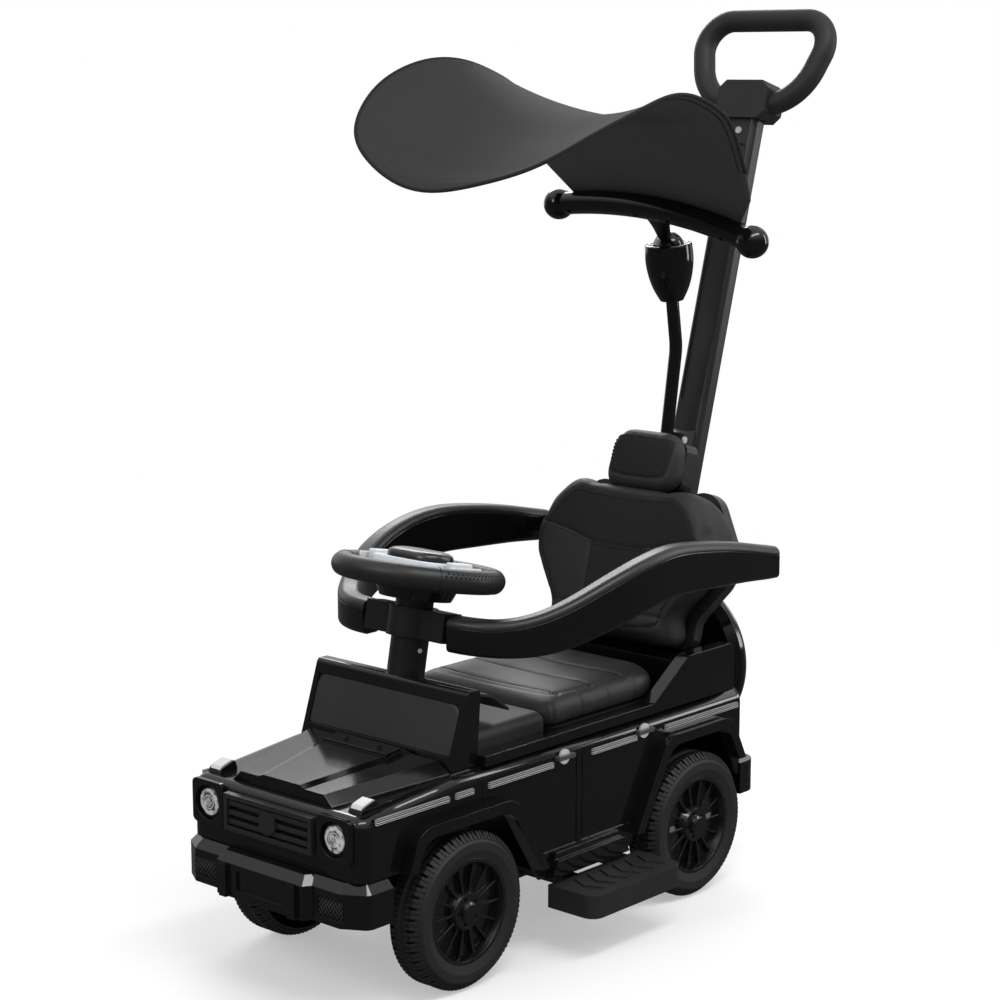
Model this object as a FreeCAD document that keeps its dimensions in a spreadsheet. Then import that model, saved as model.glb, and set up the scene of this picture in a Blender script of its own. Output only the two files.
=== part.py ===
import FreeCAD, Part
import math
import os

import Sketcher
from FreeCAD import Vector

# A child's push car: a moulded off-road car body on four wheels, with a steering wheel, a guard ring,
# a parent's push handle and a tilting canopy. +X is forward, +Y is the car's left, +Z is up.

doc = FreeCAD.newDocument("push_car")
sheet = doc.addObject("Spreadsheet::Sheet", "Sizes")

# Driving dimensions, in millimetres and degrees
sizes = {
    # Fits
    "overrun": 2, "running_gap": 0.05, "seat_gap": 0.3, "slide_gap": 0.4,
    # Wheels
    "rear_axle_x": -113.5, "wheelbase": 377, "track_half": 118, "wheel_radius": 81, "tyre_width": 44,
    "rim_radius": 55, "tyre_wall": 6, "tread_wall": 8, "shoulder_size": 9, "bead_inset": 3,
    "tread_depth": 3.6, "tread_slot": 3.4, "tread_reach": 14, "tread_groove": 3, "tread_count": 44,
    "axle_radius": 5, "hub_radius": 19, "hub_inset": 5, "hub_tube_radius": 12, "hub_back_inset": 1,
    "rim_lip": 4, "rim_plate": 3, "rim_recess": 13, "rim_back_inset": 6, "rim_slope": 4,
    "spoke_count": 14, "spoke_width": 2.4, "spoke_height": 5.5, "lug_count": 5, "lug_radius": 2,
    "lug_circle": 13.6, "lug_depth": 4, "nut_radius": 9, "nut_thickness": 3, "nut_pocket_depth": 12,
    "cap_radius": 10.4, "cap_flange": 2.5, "cap_dome": 2, "cap_plug_depth": 3,
    # Steering gear
    "kingpin_y": 84, "kingpin_radius": 6, "kingpin_length": 5, "knuckle_radius": 11, "knuckle_height": 34,
    "arm_length": 30, "arm_width": 12, "arm_thickness": 8, "arm_drop": 3,
    "arm_pin_radius": 3.5, "tie_rod_width": 13, "tie_rod_thickness": 6, "tie_pin_rise": 3,
    "crank_length": 18, "crank_rise": 10, "crank_thickness": 6, "crank_width": 13, "crank_pin_radius": 3,
    "crank_slot_gap": 0.6, "crank_slot_length": 14,
    "column_tilt_angle": 11, "shaft_radius": 5, "shaft_foot": 10, "socket_length": 40,
    "beam_depth": 34, "beam_shift": 1, "beam_height": 24, "ear_width": 28, "ear_thickness": 5,
    "ear_inner_y": 68,
    # Floor
    "floor_z": 88, "floor_thickness": 3, "floor_half_width": 118, "floor_wheel_half": 88,
    "floor_front_half": 56, "floor_rear_x": -196, "floor_mid_rear_x": -26, "floor_mid_front_reach": -115.5,
    "axle_block_y": 72, "axle_block_width": 12, "axle_block_depth": 26, "axle_block_drop": 7,
    # Footrests
    "footrest_x": 56, "footrest_length": 151, "footrest_outer_y": 190, "footrest_inner_y": 127,
    "footrest_top_z": 73, "footrest_height": 25, "footrest_wall": 3, "footrest_corner": 14, "rib_rise": 1.6,
    "rib_count": 6, "rib_width": 5, "rib_sweep": 9, "rib_margin": 12, "rib_pitch": 21,
    "tongue_width": 20, "tongue_height": 10, "tongue_drop": 4, "tongue_inner_y": 30, "tongue_near": 28,
    "tongue_far": 56, "guide_wall": 4, "guide_half": 56,
    # Body
    "body_half_width": 124, "body_rear_x": -208, "body_front_reach": 140.5, "body_wall": 3, "belt_z": 219,
    "belt_inset": 4, "belt_rear_inset": 8, "sill_z": 80, "rear_skirt_z": 118, "front_skirt_z": 141.3,
    "rail_z": 230, "rail_front_reach": -42.5, "kick_low_x": -54, "kick_top_x": -116, "rear_top_z": 273,
    "rail_round": 8, "cowl_reach": -0.5, "fender_front_z": 205, "nose_round": 12, "corner_round": 16,
    "cockpit_half": 104, "cockpit_rear_x": -120, "deck_z": 222, "trunk_z": 262,
    "door_line_width": 1.6, "door_line_depth": 1, "door_low_z": 107, "door_high_z": 216,
    "front_door_x": 82, "front_door_length": 150, "rear_door_x": -44, "rear_door_length": 118,
    # Wheel arches
    "front_arch_top_z": 172, "front_arch_nose_reach": 63.5, "front_arch_tail_reach": -63.5,
    "front_leg_nose_reach": 98.5,
    "front_leg_tail_reach": -123.5, "rear_arch_top_z": 183, "rear_arch_nose_x": -66, "rear_arch_tail_x": -168,
    "rear_leg_nose_x": -6, "rear_leg_tail_x": -226, "arch_foot_z": 76, "arch_round": 26,
    "flare_band": 12, "flare_rise": 14, "flare_nose_z": 141, "flare_foot_z": 96,
    # Sills
    "sill_nose_reach": -131.5, "sill_tail_x": 4, "sill_top_z": 105, "sill_rise": 10, "sill_slope": 12,
    "sill_step": 7,
    # Hood
    "hood_front_half": 72, "hood_front_top_half": 60, "hood_rear_half": 110, "hood_rear_top_half": 92,
    "hood_rise": 11, "hood_front_reach": 127.5, "bulge_front_half": 34, "bulge_rear_half": 56,
    "bulge_rise": 3, "bulge_slope": 8, "vent_half_width": 46, "vent_length": 22, "vent_rise": 2.5,
    "vent_gap": 4, "nozzle_radius": 3, "nozzle_rise": 2.5, "nozzle_y": 24,
    # Front end
    "grille_half_width": 64, "grille_low_z": 160, "grille_high_z": 199, "grille_depth": 8, "grille_frame": 5,
    "slat_count": 3, "slat_height": 5, "slat_depth": 5, "mesh_thickness": 2, "emblem_radius": 12,
    "lamp_y": 91, "lamp_z": 182, "lamp_radius": 18, "lamp_depth": 5, "lamp_dome": 4, "bezel_half": 23,
    "bezel_rise": 5, "bezel_corner": 6, "signal_y": 102, "signal_reach": 102.5, "signal_length": 24,
    "signal_half_width": 9, "signal_rise": 9, "signal_round": 3,
    # Front bumper
    "bumper_front_reach": 160.5, "bumper_half_width": 131, "bumper_low_z": 97, "bumper_high_z": 141,
    "bumper_wall": 4, "bumper_corner": 26, "bumper_end_reach": 102.5, "bumper_shelf": 9,
    "bumper_middle_half": 62,
    "bumper_step": 9, "plate_half_width": 33, "plate_low_z": 106, "plate_high_z": 126, "plate_depth": 2.5,
    "mesh_window_y": 74, "mesh_window_width": 34, "mesh_window_low_z": 104, "mesh_window_high_z": 124,
    "mesh_window_depth": 3,
    "bumper_post_half": 5, "bumper_post_y": 50, "bumper_post_rise": 4,
    # Rear bumper
    "rear_bumper_x": -244, "rear_bumper_low_z": 93, "rear_bumper_high_z": 130, "rear_bumper_corner": 22,
    "rear_bumper_half": 126,
    # Trims and door handles
    "trim_rise": 3.5, "trim_low_z": 198, "trim_high_z": 204, "trim_bevel": 0.8, "trim_line": 0.8,
    "trim_front_start": 19, "trim_front_length": 102, "trim_short_start": 17, "trim_short_length": 25,
    "trim_door_start": 41, "trim_front_door_length": 99, "trim_rear_door_start": 28,
    "trim_rear_door_length": 74,
    "trim_rear_length": 132,
    "handle_plate_length": 27, "handle_plate_height": 4.6, "handle_plate_rise": 6, "handle_z": 206,
    "lock_radius": 8, "lock_rise": 2.5, "front_handle_x": 104, "rear_handle_x": -30,
    # Windshield and dash
    "screen_half": 109, "screen_low_reach": -2.5, "screen_high_reach": -28.5,
    "screen_high_z": 298, "screen_tail_reach": -41.5, "screen_tail_high_reach": -47.5, "screen_border": 7,
    "screen_pane_depth": 2, "screen_round": 6,
    "brim_rear_reach": -98.5, "brim_drop": 25, "brim_thickness": 3, "brim_half": 102, "brim_round": 30,
    # Console ahead of the seat
    "console_rear_x": 103, "console_front_reach": -50.5, "console_half": 101, "console_top_z": 251,
    "console_wall": 3, "console_round": 12,
    # Storage tray
    "tray_rear_x": -80, "tray_front_x": 80, "tray_half": 66, "tray_floor_z": 118, "tray_wall": 2.5,
    "tray_flange": 8, "tray_flange_thickness": 2.5, "tray_round": 10,
    # Seat
    "seat_front_x": 100, "seat_rear_x": -104, "seat_half": 101, "seat_plate": 4, "seat_plate_inset": 4,
    "seat_height": 36, "seat_side_draw": 8, "seat_corner": 16,
    "seat_rear_corner": 44, "seat_channel": 3, "seat_channel_depth": 2.5, "seat_channel_count": 4,
    "seat_channel_front": 22,
    "seat_channel_pitch": 53,
    # Backrest
    "rest_lean_angle": 15.6, "rest_foot_x": -171, "rest_foot_z": 263, "rest_height": 184,
    "rest_notch_half": 55, "rest_notch": 9,
    "rest_half": 128,
    "rest_foot_half": 92, "rest_shell": 14, "rest_cushion": 56, "rest_wide_height": 116, "rest_round": 40,
    "rest_foot_round": 12, "rest_shoulder_round": 30, "rest_edge": 10, "rest_shoulder_half": 86,
    "rest_hip_height": 34, "rest_hip_round": 24, "rest_side_height": 82,
    "rest_side_round": 38, "rest_seam_height": 92, "rest_seam_width": 3, "rest_seam_depth": 3,
    "headrest_half": 51, "headrest_height": 66, "headrest_thickness": 38, "headrest_round": 22,
    "headrest_edge": 10, "headrest_shift": 7,
    # Spare wheel cover
    "spare_radius": 99, "spare_z": 229, "spare_front_x": -236, "spare_thickness": 24, "spare_edge": 9,
    "spare_groove": 3, "spare_disc_radius": 84, "spare_neck_radius": 44,
    # Steering tower and guard
    "tower_radius": 20, "tower_bore": 15, "tower_top": 279, "tower_cap": 6, "tower_sink": 30,
    "collar_low": 240,
    "collar_height": 31, "collar_radius": 26, "collar_half": 56, "collar_thickness": 26,
    "guard_low_z": 326, "guard_high_z": 420, "guard_rear_z": 374, "guard_thickness": 25, "guard_cap": 9,
    "guard_side_y": 172, "guard_rear_y": 168, "guard_rear_x": -200, "guard_corner": 112, "guard_sweep": 170,
    "guard_round": 6, "guard_top_round": 8, "guard_seam": 0.8, "stay_height": 22,
    # Steering wheel, measured along the column from its foot
    "wheel_height": 307, "grip_circle": 79, "grip_radius": 12.5, "insert_thickness": 5, "insert_half": 38,
    "insert_round": 16, "insert_drop": 4, "bowl_top_radius": 46, "bowl_low_radius": 38, "bowl_depth": 18,
    "bowl_wall": 3, "horn_half_length": 33, "horn_half_width": 22, "horn_rise": 8, "horn_round": 20,
    "horn_edge": 4, "press_gap": 0.5,
    "button_half_length": 13, "button_half_width": 6, "button_y": 54, "button_rise": 4, "button_round": 5,
    "cell_radius": 5.1, "cell_length": 38, "cell_pitch": 10.6, "cell_x": -23, "module_half_length": 20,
    "module_x": 4, "module_width": 20, "module_height": 7,
    # Push handle
    "post_lean_angle": 15.6, "post_foot_x": -185, "post_foot_z": 190, "post_width": 42, "post_depth": 23,
    "post_length": 717, "post_round": 7, "post_panel_width": 30, "post_panel_depth": 3, "post_panel_low": 350,
    "post_panel_high": 660, "socket_wall": 5, "socket_height": 88,
    "hub_half_width": 35, "hub_low": 27, "hub_high": 18, "hub_half_depth": 18, "hub_bevel": 9,
    "grip_drop": 8, "loop_lean_angle": 22,
    "grip_half": 98, "grip_height": 106, "grip_tube": 13, "grip_top_round": 34, "grip_low_round": 64,
    "grip_low_half": 66,
    # Canopy
    "pole_radius": 7.5, "pole_foot_x": -214, "pole_foot_z": 426, "pole_knee_x": -240.5, "pole_knee_z": 598,
    "pole_bend": 60, "cup_lean_angle": 7, "cup_x": -231.5, "cup_z": 653, "cup_radius": 27.5,
    "cup_height": 65, "cup_plug": 22,
    "ball_radius": 18, "ball_gap": 0.3, "ball_height": 62, "neck_radius": 9, "neck_spread": 27,
    "hole_radius": 2.8, "hole_depth": 3,
    "bar_rise": 45, "canopy_roll_angle": -6.4, "bar_half": 140, "bar_radius": 13, "bar_bow": 15,
    "knob_radius": 18.2, "bar_forward": 34.3, "canopy_length": 392.3, "canopy_height": 164,
    "canopy_half": 168,
    "canopy_sag": 42, "canopy_cloth": 2, "canopy_foot": 28, "bracket_half": 16, "bracket_low_z": 464,
    "bracket_high_z": 499,
    "bracket_reach": 12,
    # Screws
    "screw_radius": 4, "screw_head": 2, "screw_drop": 14,
}


# A size carries its number and the sheet expression that gives it
class Size:
    def __init__(self, value, text):
        self.value = float(value)
        self.text = text

    def __float__(self):
        return self.value

    def __add__(self, other):
        return Size(self.value + float(other), f"({self.text} + {written(other)})")

    def __radd__(self, other):
        return Size(float(other) + self.value, f"({written(other)} + {self.text})")

    def __sub__(self, other):
        return Size(self.value - float(other), f"({self.text} - {written(other)})")

    def __rsub__(self, other):
        return Size(float(other) - self.value, f"({written(other)} - {self.text})")

    def __mul__(self, other):
        return Size(self.value * float(other), f"({self.text} * {written(other)})")

    def __rmul__(self, other):
        return Size(float(other) * self.value, f"({written(other)} * {self.text})")

    def __truediv__(self, other):
        return Size(self.value / float(other), f"({self.text} / {written(other)})")

    def __neg__(self):
        return Size(-self.value, f"(0 - {self.text})")


def written(item):
    return item.text if isinstance(item, Size) else repr(item)


def sine(angle):
    return Size(math.sin(math.radians(angle.value)), f"sin({angle.text} * 1 deg)")


def cosine(angle):
    return Size(math.cos(math.radians(angle.value)), f"cos({angle.text} * 1 deg)")


def tangent(angle):
    return sine(angle) / cosine(angle)


class Sizes:
    pass


# The sheet: one row per dimension, its name beside its value
s = Sizes()
for row, (alias, value) in enumerate(sizes.items(), start=1):
    sheet.set(f"A{row}", alias)
    sheet.set(f"B{row}", str(value))
    sheet.setAlias(f"B{row}", alias)
    setattr(s, alias, Size(value, f"Sizes.{alias}"))
doc.recompute()

zero = Size(0, "0")

# The front end is placed from the front axle, so that it follows the wheelbase
front_axle_x = s.rear_axle_x + s.wheelbase
for front_edge in (
    "body_front", "front_arch_nose", "front_arch_tail", "front_leg_nose", "front_leg_tail", "sill_nose",
    "floor_mid_front", "rail_front", "cowl", "hood_front", "signal", "bumper_front", "bumper_end",
    "screen_low", "screen_high", "screen_tail", "screen_tail_high", "brim_rear", "console_front",
):
    setattr(s, front_edge + "_x", front_axle_x + getattr(s, front_edge + "_reach"))
nodes = {}


def bind(target, **values):
    for name, item in values.items():
        target.setExpression(name, written(item))


# Put an object at a point, turned about one axis
def place(target, x=zero, y=zero, z=zero, axis=(0, 0, 1), angle=zero):
    spot = "; ".join(written(item) for item in (x, y, z))
    turn = "; ".join(str(item) for item in axis)
    target.setExpression(
        "Placement", f"placement(vector({spot}); rotation(vector({turn}); {written(angle)}))")
    return target


def keep(label, target):
    target.Label = label
    nodes[label] = target
    return target


# Sketch points are (across, up) or (across, up, corner radius), each tied to the sheet
def corner_arc(before, corner, after, radius):
    toward = (before - corner).normalize()
    onward = (after - corner).normalize()
    half = toward.getAngle(onward) / 2
    reach = radius / math.tan(half)
    start = corner + toward * reach
    end = corner + onward * reach
    middle = (toward + onward).normalize()
    centre = corner + middle * (radius / math.sin(half))
    return start, end, centre


def tie_point(sketch, geometry, position, point):
    for kind, item in (("DistanceX", point[0]), ("DistanceY", point[1])):
        index = sketch.addConstraint(Sketcher.Constraint(kind, -1, 1, geometry, position, float(item)))
        sketch.setExpression(f"Constraints[{index}]", written(item))


def draw_loop(sketch, points):
    spots = [Vector(float(point[0]), float(point[1]), 0) for point in points]
    total = len(points)
    starts = list(spots)
    ends = list(spots)
    arcs = {}
    for index, point in enumerate(points):
        if len(point) == 3:
            before = spots[index - 1]
            after = spots[(index + 1) % total]
            first, last, centre = corner_arc(before, spots[index], after, float(point[2]))
            ends[index] = first
            starts[index] = last
            arcs[index] = centre
    lines = []
    for index in range(total):
        segment = Part.LineSegment(starts[index], ends[(index + 1) % total])
        lines.append(sketch.addGeometry(segment))
    for index, point in enumerate(points):
        before = lines[index - 1]
        after = lines[index]
        if index not in arcs:
            sketch.addConstraint(Sketcher.Constraint("Coincident", before, 2, after, 1))
            tie_point(sketch, after, 1, point)
            continue
        centre = arcs[index]
        first = ends[index] - centre
        last = starts[index] - centre
        turning_left = first.cross(last).z > 0
        low, high = (first, last) if turning_left else (last, first)
        circle = Part.Circle(centre, Vector(0, 0, 1), float(point[2]))
        low_angle = math.atan2(low.y, low.x)
        high_angle = math.atan2(high.y, high.x)
        arc = sketch.addGeometry(Part.ArcOfCircle(circle, low_angle, high_angle))
        begin, finish = (1, 2) if turning_left else (2, 1)
        sketch.addConstraint(Sketcher.Constraint("Tangent", before, 2, arc, begin))
        sketch.addConstraint(Sketcher.Constraint("Tangent", arc, finish, after, 1))
        radius = sketch.addConstraint(Sketcher.Constraint("Radius", arc, float(point[2])))
        sketch.setExpression(f"Constraints[{radius}]", written(point[2]))
        mark = sketch.addGeometry(Part.Point(spots[index]), True)
        sketch.addConstraint(Sketcher.Constraint("PointOnObject", mark, 1, before))
        sketch.addConstraint(Sketcher.Constraint("PointOnObject", mark, 1, after))
        tie_point(sketch, mark, 1, point)


def draw_circle(sketch, across, up, radius):
    circle = Part.Circle(Vector(float(across), float(up), 0), Vector(0, 0, 1), float(radius))
    geometry = sketch.addGeometry(circle)
    tie_point(sketch, geometry, 3, (across, up))
    index = sketch.addConstraint(Sketcher.Constraint("Radius", geometry, float(radius)))
    sketch.setExpression(f"Constraints[{index}]", written(radius))


def rectangle(low_across, high_across, low_up, high_up, radius=None):
    spots = [(low_across, low_up), (high_across, low_up), (high_across, high_up), (low_across, high_up)]
    return [spot + (radius,) for spot in spots] if radius is not None else spots


# Edge tests for fillets and chamfers
def runs_along(axis):
    def test(edge):
        if edge.Curve.TypeId != "Part::GeomLine":
            return False
        direction = edge.Curve.Direction
        return abs(abs(direction.dot(Vector(*axis))) - 1) < 1e-6
    return test


def lies_at(axis, level):
    def test(edge):
        box = edge.BoundBox
        low = (box.XMin, box.YMin, box.ZMin)[axis]
        high = (box.XMax, box.YMax, box.ZMax)[axis]
        return abs(low - float(level)) < 1e-4 and abs(high - float(level)) < 1e-4
    return test


def both(first, second):
    return lambda edge: first(edge) and second(edge)


# A moulded or turned piece: one body with its features in working order
class Piece:
    def __init__(self, label, kept=True):
        self.body = doc.addObject("PartDesign::Body", label)
        if kept:
            keep(label, self.body)

    def plane(self, role):
        return next(item for item in self.body.Origin.OriginFeatures if item.Role == role + "_Plane")

    def sketch(self, plane, offset):
        sketch = self.body.newObject("Sketcher::SketchObject", "Sketch")
        sketch.AttachmentSupport = [(self.plane(plane), "")]
        sketch.MapMode = "FlatFace"
        sketch.setExpression("AttachmentOffset.Base.z", written(offset))
        return sketch

    def finish(self, feature):
        self.body.Tip = feature
        doc.recompute()
        return feature

    # Material from low to high along the axis that the plane faces
    def pad(self, plane, loops, low, high, circles=()):
        offset = -high if plane == "XZ" else low
        sketch = self.sketch(plane, offset)
        for loop in loops:
            draw_loop(sketch, loop)
        for circle in circles:
            draw_circle(sketch, *circle)
        feature = self.body.newObject("PartDesign::Pad", "Pad")
        feature.Profile = sketch
        bind(feature, Length=high - low)
        return self.finish(feature)

    def pocket(self, plane, loops, low, high, circles=()):
        offset = -low if plane == "XZ" else high
        sketch = self.sketch(plane, offset)
        for loop in loops:
            draw_loop(sketch, loop)
        for circle in circles:
            draw_circle(sketch, *circle)
        feature = self.body.newObject("PartDesign::Pocket", "Pocket")
        feature.Profile = sketch
        bind(feature, Length=high - low)
        return self.finish(feature)

    # A turned form: the outline is (radius, height) about the plane's upright axis
    def turn(self, plane, loop, kind="Revolution"):
        sketch = self.sketch(plane, zero)
        draw_loop(sketch, loop)
        feature = self.body.newObject("PartDesign::" + kind, kind)
        feature.Profile = sketch
        feature.ReferenceAxis = (sketch, ["V_Axis"])
        feature.Angle = 360
        return self.finish(feature)

    # A form drawn through several outlines, each at its own level
    def loft(self, plane, levels):
        sketches = []
        for level, loop in levels:
            sketch = self.sketch(plane, -level if plane == "XZ" else level)
            draw_loop(sketch, loop)
            sketches.append(sketch)
        feature = self.body.newObject("PartDesign::AdditiveLoft", "AdditiveLoft")
        feature.Profile = sketches[0]
        feature.Sections = sketches[1:]
        return self.finish(feature)

    # A round bar along a closed path in the plane, which starts at the origin
    def pipe(self, plane, across, path, radius):
        spine = self.sketch(plane, zero)
        draw_loop(spine, path)
        profile = self.sketch(across, zero)
        draw_circle(profile, zero, zero, radius)
        feature = self.body.newObject("PartDesign::AdditivePipe", "AdditivePipe")
        feature.Profile = profile
        feature.Spine = spine
        return self.finish(feature)

    def repeat_round(self, feature, axis, count):
        pattern = self.body.newObject("PartDesign::PolarPattern", "PolarPattern")
        pattern.Originals = [feature]
        line = next(item for item in self.body.Origin.OriginFeatures if item.Role == axis + "_Axis")
        pattern.Axis = (line, [""])
        pattern.Angle = 360
        bind(pattern, Occurrences=count)
        return self.finish(pattern)

    def repeat_along(self, feature, axis, length, count):
        pattern = self.body.newObject("PartDesign::LinearPattern", "LinearPattern")
        pattern.Originals = [feature]
        line = next(item for item in self.body.Origin.OriginFeatures if item.Role == axis + "_Axis")
        pattern.Direction = (line, [""])
        bind(pattern, Length=length, Occurrences=count)
        return self.finish(pattern)

    def dress(self, kind, test, **values):
        base = self.body.Tip
        edges = [f"Edge{index}" for index, edge in enumerate(base.Shape.Edges, start=1) if test(edge)]
        feature = self.body.newObject("PartDesign::" + kind, kind)
        feature.Base = (base, edges)
        bind(feature, **values)
        return self.finish(feature)

    def round(self, test, radius):
        return self.dress("Fillet", test, Radius=radius)

    def bevel(self, test, size):
        return self.dress("Chamfer", test, Size=size)


# Plain solids and booleans
def block(name, low, high):
    solid = doc.addObject("Part::Box", name)
    bind(solid, Length=high[0] - low[0], Width=high[1] - low[1], Height=high[2] - low[2])
    return place(solid, *low)


turns = {"X": ((0, 1, 0), 90), "Y": ((1, 0, 0), -90), "Z": ((0, 0, 1), 0)}


def rod(name, radius, length, foot, axis):
    solid = doc.addObject("Part::Cylinder", name)
    bind(solid, Radius=radius, Height=length)
    direction, angle = turns[axis]
    return place(solid, *foot, direction, Size(angle, str(angle)))


def ball(name, radius, centre):
    solid = doc.addObject("Part::Sphere", name)
    bind(solid, Radius=radius)
    return place(solid, *centre)


def cut(name, base, *tools):
    for tool in tools:
        result = doc.addObject("Part::Cut", name)
        result.Base = base
        result.Tool = tool
        base = result
    return base


def fuse(name, *parts):
    result = doc.addObject("Part::MultiFuse", name)
    result.Shapes = list(parts)
    result.Refine = True
    return result


def group(name, *parts):
    result = doc.addObject("Part::Compound", name)
    result.Links = list(parts)
    return result


def mirror(name, source):
    result = doc.addObject("Part::Mirroring", name)
    result.Source = source
    result.Normal = Vector(0, 1, 0)
    return result


def shaped(label, shape):
    solid = doc.addObject("Part::Feature", label)
    solid.Shape = shape
    return solid


# Shares used for rounded ends, slopes and crowned forms
end_round_share = 0.9
slope_share = 0.6
corner_share = 0.4
third_share = 0.3
quarter_share = 0.25

tyre_half = s.tyre_width / 2


# Wheels: the outline is drawn about the wheel's own axis, with the outer face at +Y
def make_tyre(label):
    piece = Piece(label)
    tread = s.wheel_radius - s.tread_wall
    piece.turn("XY", [
        (s.rim_radius, tyre_half - s.bead_inset),
        (s.rim_radius + s.shoulder_size, tyre_half),
        (s.wheel_radius - s.shoulder_size, tyre_half),
        (s.wheel_radius, tyre_half - s.shoulder_size),
        (s.wheel_radius, s.tread_groove),
        (s.wheel_radius - s.tread_depth, zero),
        (s.wheel_radius, -s.tread_groove),
        (s.wheel_radius, s.shoulder_size - tyre_half),
        (s.wheel_radius - s.shoulder_size, -tyre_half),
        (tread, s.shoulder_size - tyre_half),
        (tread, tyre_half - s.tyre_wall - s.shoulder_size),
        (tread - s.shoulder_size, tyre_half - s.tyre_wall),
        (s.rim_radius, tyre_half - s.tyre_wall),
    ])
    edge = tyre_half + s.overrun
    slot = s.tread_slot / 2
    near = rectangle(tyre_half - s.tread_reach, edge, -slot, slot)
    far = rectangle(-edge, s.tread_reach - tyre_half, -slot, slot)
    lugs = piece.pocket("YZ", [near, far], s.wheel_radius - s.tread_depth, s.wheel_radius + s.overrun)
    piece.repeat_round(lugs, "Y", s.tread_count)
    return piece


def make_rim(label):
    piece = Piece(label, kept=False)
    bore = s.axle_radius + s.running_gap
    face = tyre_half - s.hub_inset
    plate = tyre_half - s.rim_recess
    barrel = s.rim_radius - s.rim_lip
    lip = tyre_half - s.bead_inset
    back = s.rim_back_inset - tyre_half
    piece.turn("XY", [
        (bore, s.hub_back_inset - tyre_half),
        (s.hub_tube_radius, s.hub_back_inset - tyre_half),
        (s.hub_tube_radius, plate - s.rim_plate),
        (barrel, plate - s.rim_plate),
        (barrel, back),
        (s.rim_radius, back),
        (s.rim_radius, lip),
        (barrel, lip),
        (barrel - s.rim_slope, plate),
        (s.hub_radius + s.rim_slope, plate),
        (s.hub_radius, face),
        (s.nut_radius + s.running_gap, face),
        (s.nut_radius + s.running_gap, face - s.nut_pocket_depth),
        (bore, face - s.nut_pocket_depth),
    ])
    half = s.spoke_width / 2
    inner = s.hub_radius - s.rim_slope / 2
    outer = barrel + s.rim_slope * quarter_share
    spoke = piece.pad("XZ", [rectangle(inner, outer, -half, half)], plate - s.rim_plate / 2,
        plate + s.spoke_height)
    piece.repeat_round(spoke, "Y", s.spoke_count)
    lug = piece.pocket("XZ", [], face - s.lug_depth, face + s.overrun, [(s.lug_circle, zero, s.lug_radius)])
    piece.repeat_round(lug, "Y", s.lug_count)
    return piece


def make_hub_cap(label):
    piece = Piece(label, kept=False)
    face = tyre_half - s.hub_inset
    plug = s.nut_radius - s.running_gap
    piece.turn("XY", [
        (zero, face - s.cap_plug_depth),
        (plug, face - s.cap_plug_depth),
        (plug, face),
        (s.cap_radius, face),
        (s.cap_radius, face + s.cap_flange),
        (s.cap_radius - s.cap_flange, face + s.cap_flange + s.cap_dome),
        (zero, face + s.cap_flange + s.cap_dome),
    ])
    return piece


half_turn = Size(180, "180")
quarter_turn = Size(90, "90")
for end, axle_x in (("front", front_axle_x), ("rear", s.rear_axle_x)):
    for side, turned in (("left", zero), ("right", half_turn)):
        wheel_y = s.track_half if side == "left" else -s.track_half
        tyre = make_tyre(f"tyre_{end}_{side}")
        disc = make_rim(f"rim_disc_{end}_{side}")
        cap = make_hub_cap(f"hub_cap_{end}_{side}")
        for piece in (tyre, disc, cap):
            place(piece.body, axle_x, wheel_y, s.wheel_radius, (0, 0, 1), turned)
        keep(f"rim_{end}_{side}", group(f"rim_{end}_{side}", disc.body, cap.body))

# Rear axle: a plain rod with a push nut at each end, inside the hubs
nut_floor = s.track_half + tyre_half - s.hub_inset - s.nut_pocket_depth
axle_end = nut_floor + s.nut_thickness + s.seat_gap
axle = rod("axle_rod", s.axle_radius, axle_end * 2, (s.rear_axle_x, -axle_end, s.wheel_radius), "Y")
nuts = []
for nut_y in (nut_floor + s.seat_gap, -axle_end):
    spot = (s.rear_axle_x, nut_y, s.wheel_radius)
    disc = rod("nut_disc", s.nut_radius - s.seat_gap, s.nut_thickness, spot, "Y")
    hole = rod("nut_hole", s.axle_radius, s.nut_thickness, spot, "Y")
    nuts.append(cut("push_nut", disc, hole))
keep("rear_axle", group("rear_axle", axle, *nuts))

# Steering knuckles: an upright barrel on the kingpin, with the stub axle and the steering arm
knuckle_low = s.wheel_radius - s.knuckle_height / 2
knuckle_high = s.wheel_radius + s.knuckle_height / 2
arm_high = knuckle_high - s.arm_drop
arm_low = arm_high - s.arm_thickness
tie_low = arm_high + s.slide_gap
tie_high = tie_low + s.tie_rod_thickness
tie_x = front_axle_x - s.arm_length
wheel_back_y = s.track_half - tyre_half + s.hub_back_inset

barrel_piece = Piece("knuckle_block", kept=False)
spot_circle = (front_axle_x, s.kingpin_y, s.knuckle_radius)
barrel_piece.pad("XY", [], knuckle_low, knuckle_high, [spot_circle])
pin_circle = (front_axle_x, s.kingpin_y, s.kingpin_radius)
barrel_piece.pad("XY", [], knuckle_low - s.kingpin_length, knuckle_high + s.kingpin_length, [pin_circle])
boss_circle = (front_axle_x, s.wheel_radius, s.knuckle_radius)
barrel_piece.pad("XZ", [], s.kingpin_y, wheel_back_y - s.slide_gap, [boss_circle])
arm_half = s.arm_width / 2
barrel_piece.pad("XY", [[
    (front_axle_x, s.kingpin_y - arm_half),
    (front_axle_x, s.kingpin_y + arm_half),
    (tie_x - arm_half, s.kingpin_y + arm_half, arm_half * end_round_share),
    (tie_x - arm_half, s.kingpin_y - arm_half, arm_half * end_round_share),
]], arm_low, arm_high)
arm_pin = (tie_x, s.kingpin_y, s.arm_pin_radius)
barrel_piece.pad("XY", [], arm_low, tie_high + s.tie_pin_rise, [arm_pin])
bore_circle = (front_axle_x, s.wheel_radius, s.axle_radius)
barrel_piece.pocket("XZ", [], s.kingpin_y - s.knuckle_radius / 2, wheel_back_y, [bore_circle])

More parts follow.
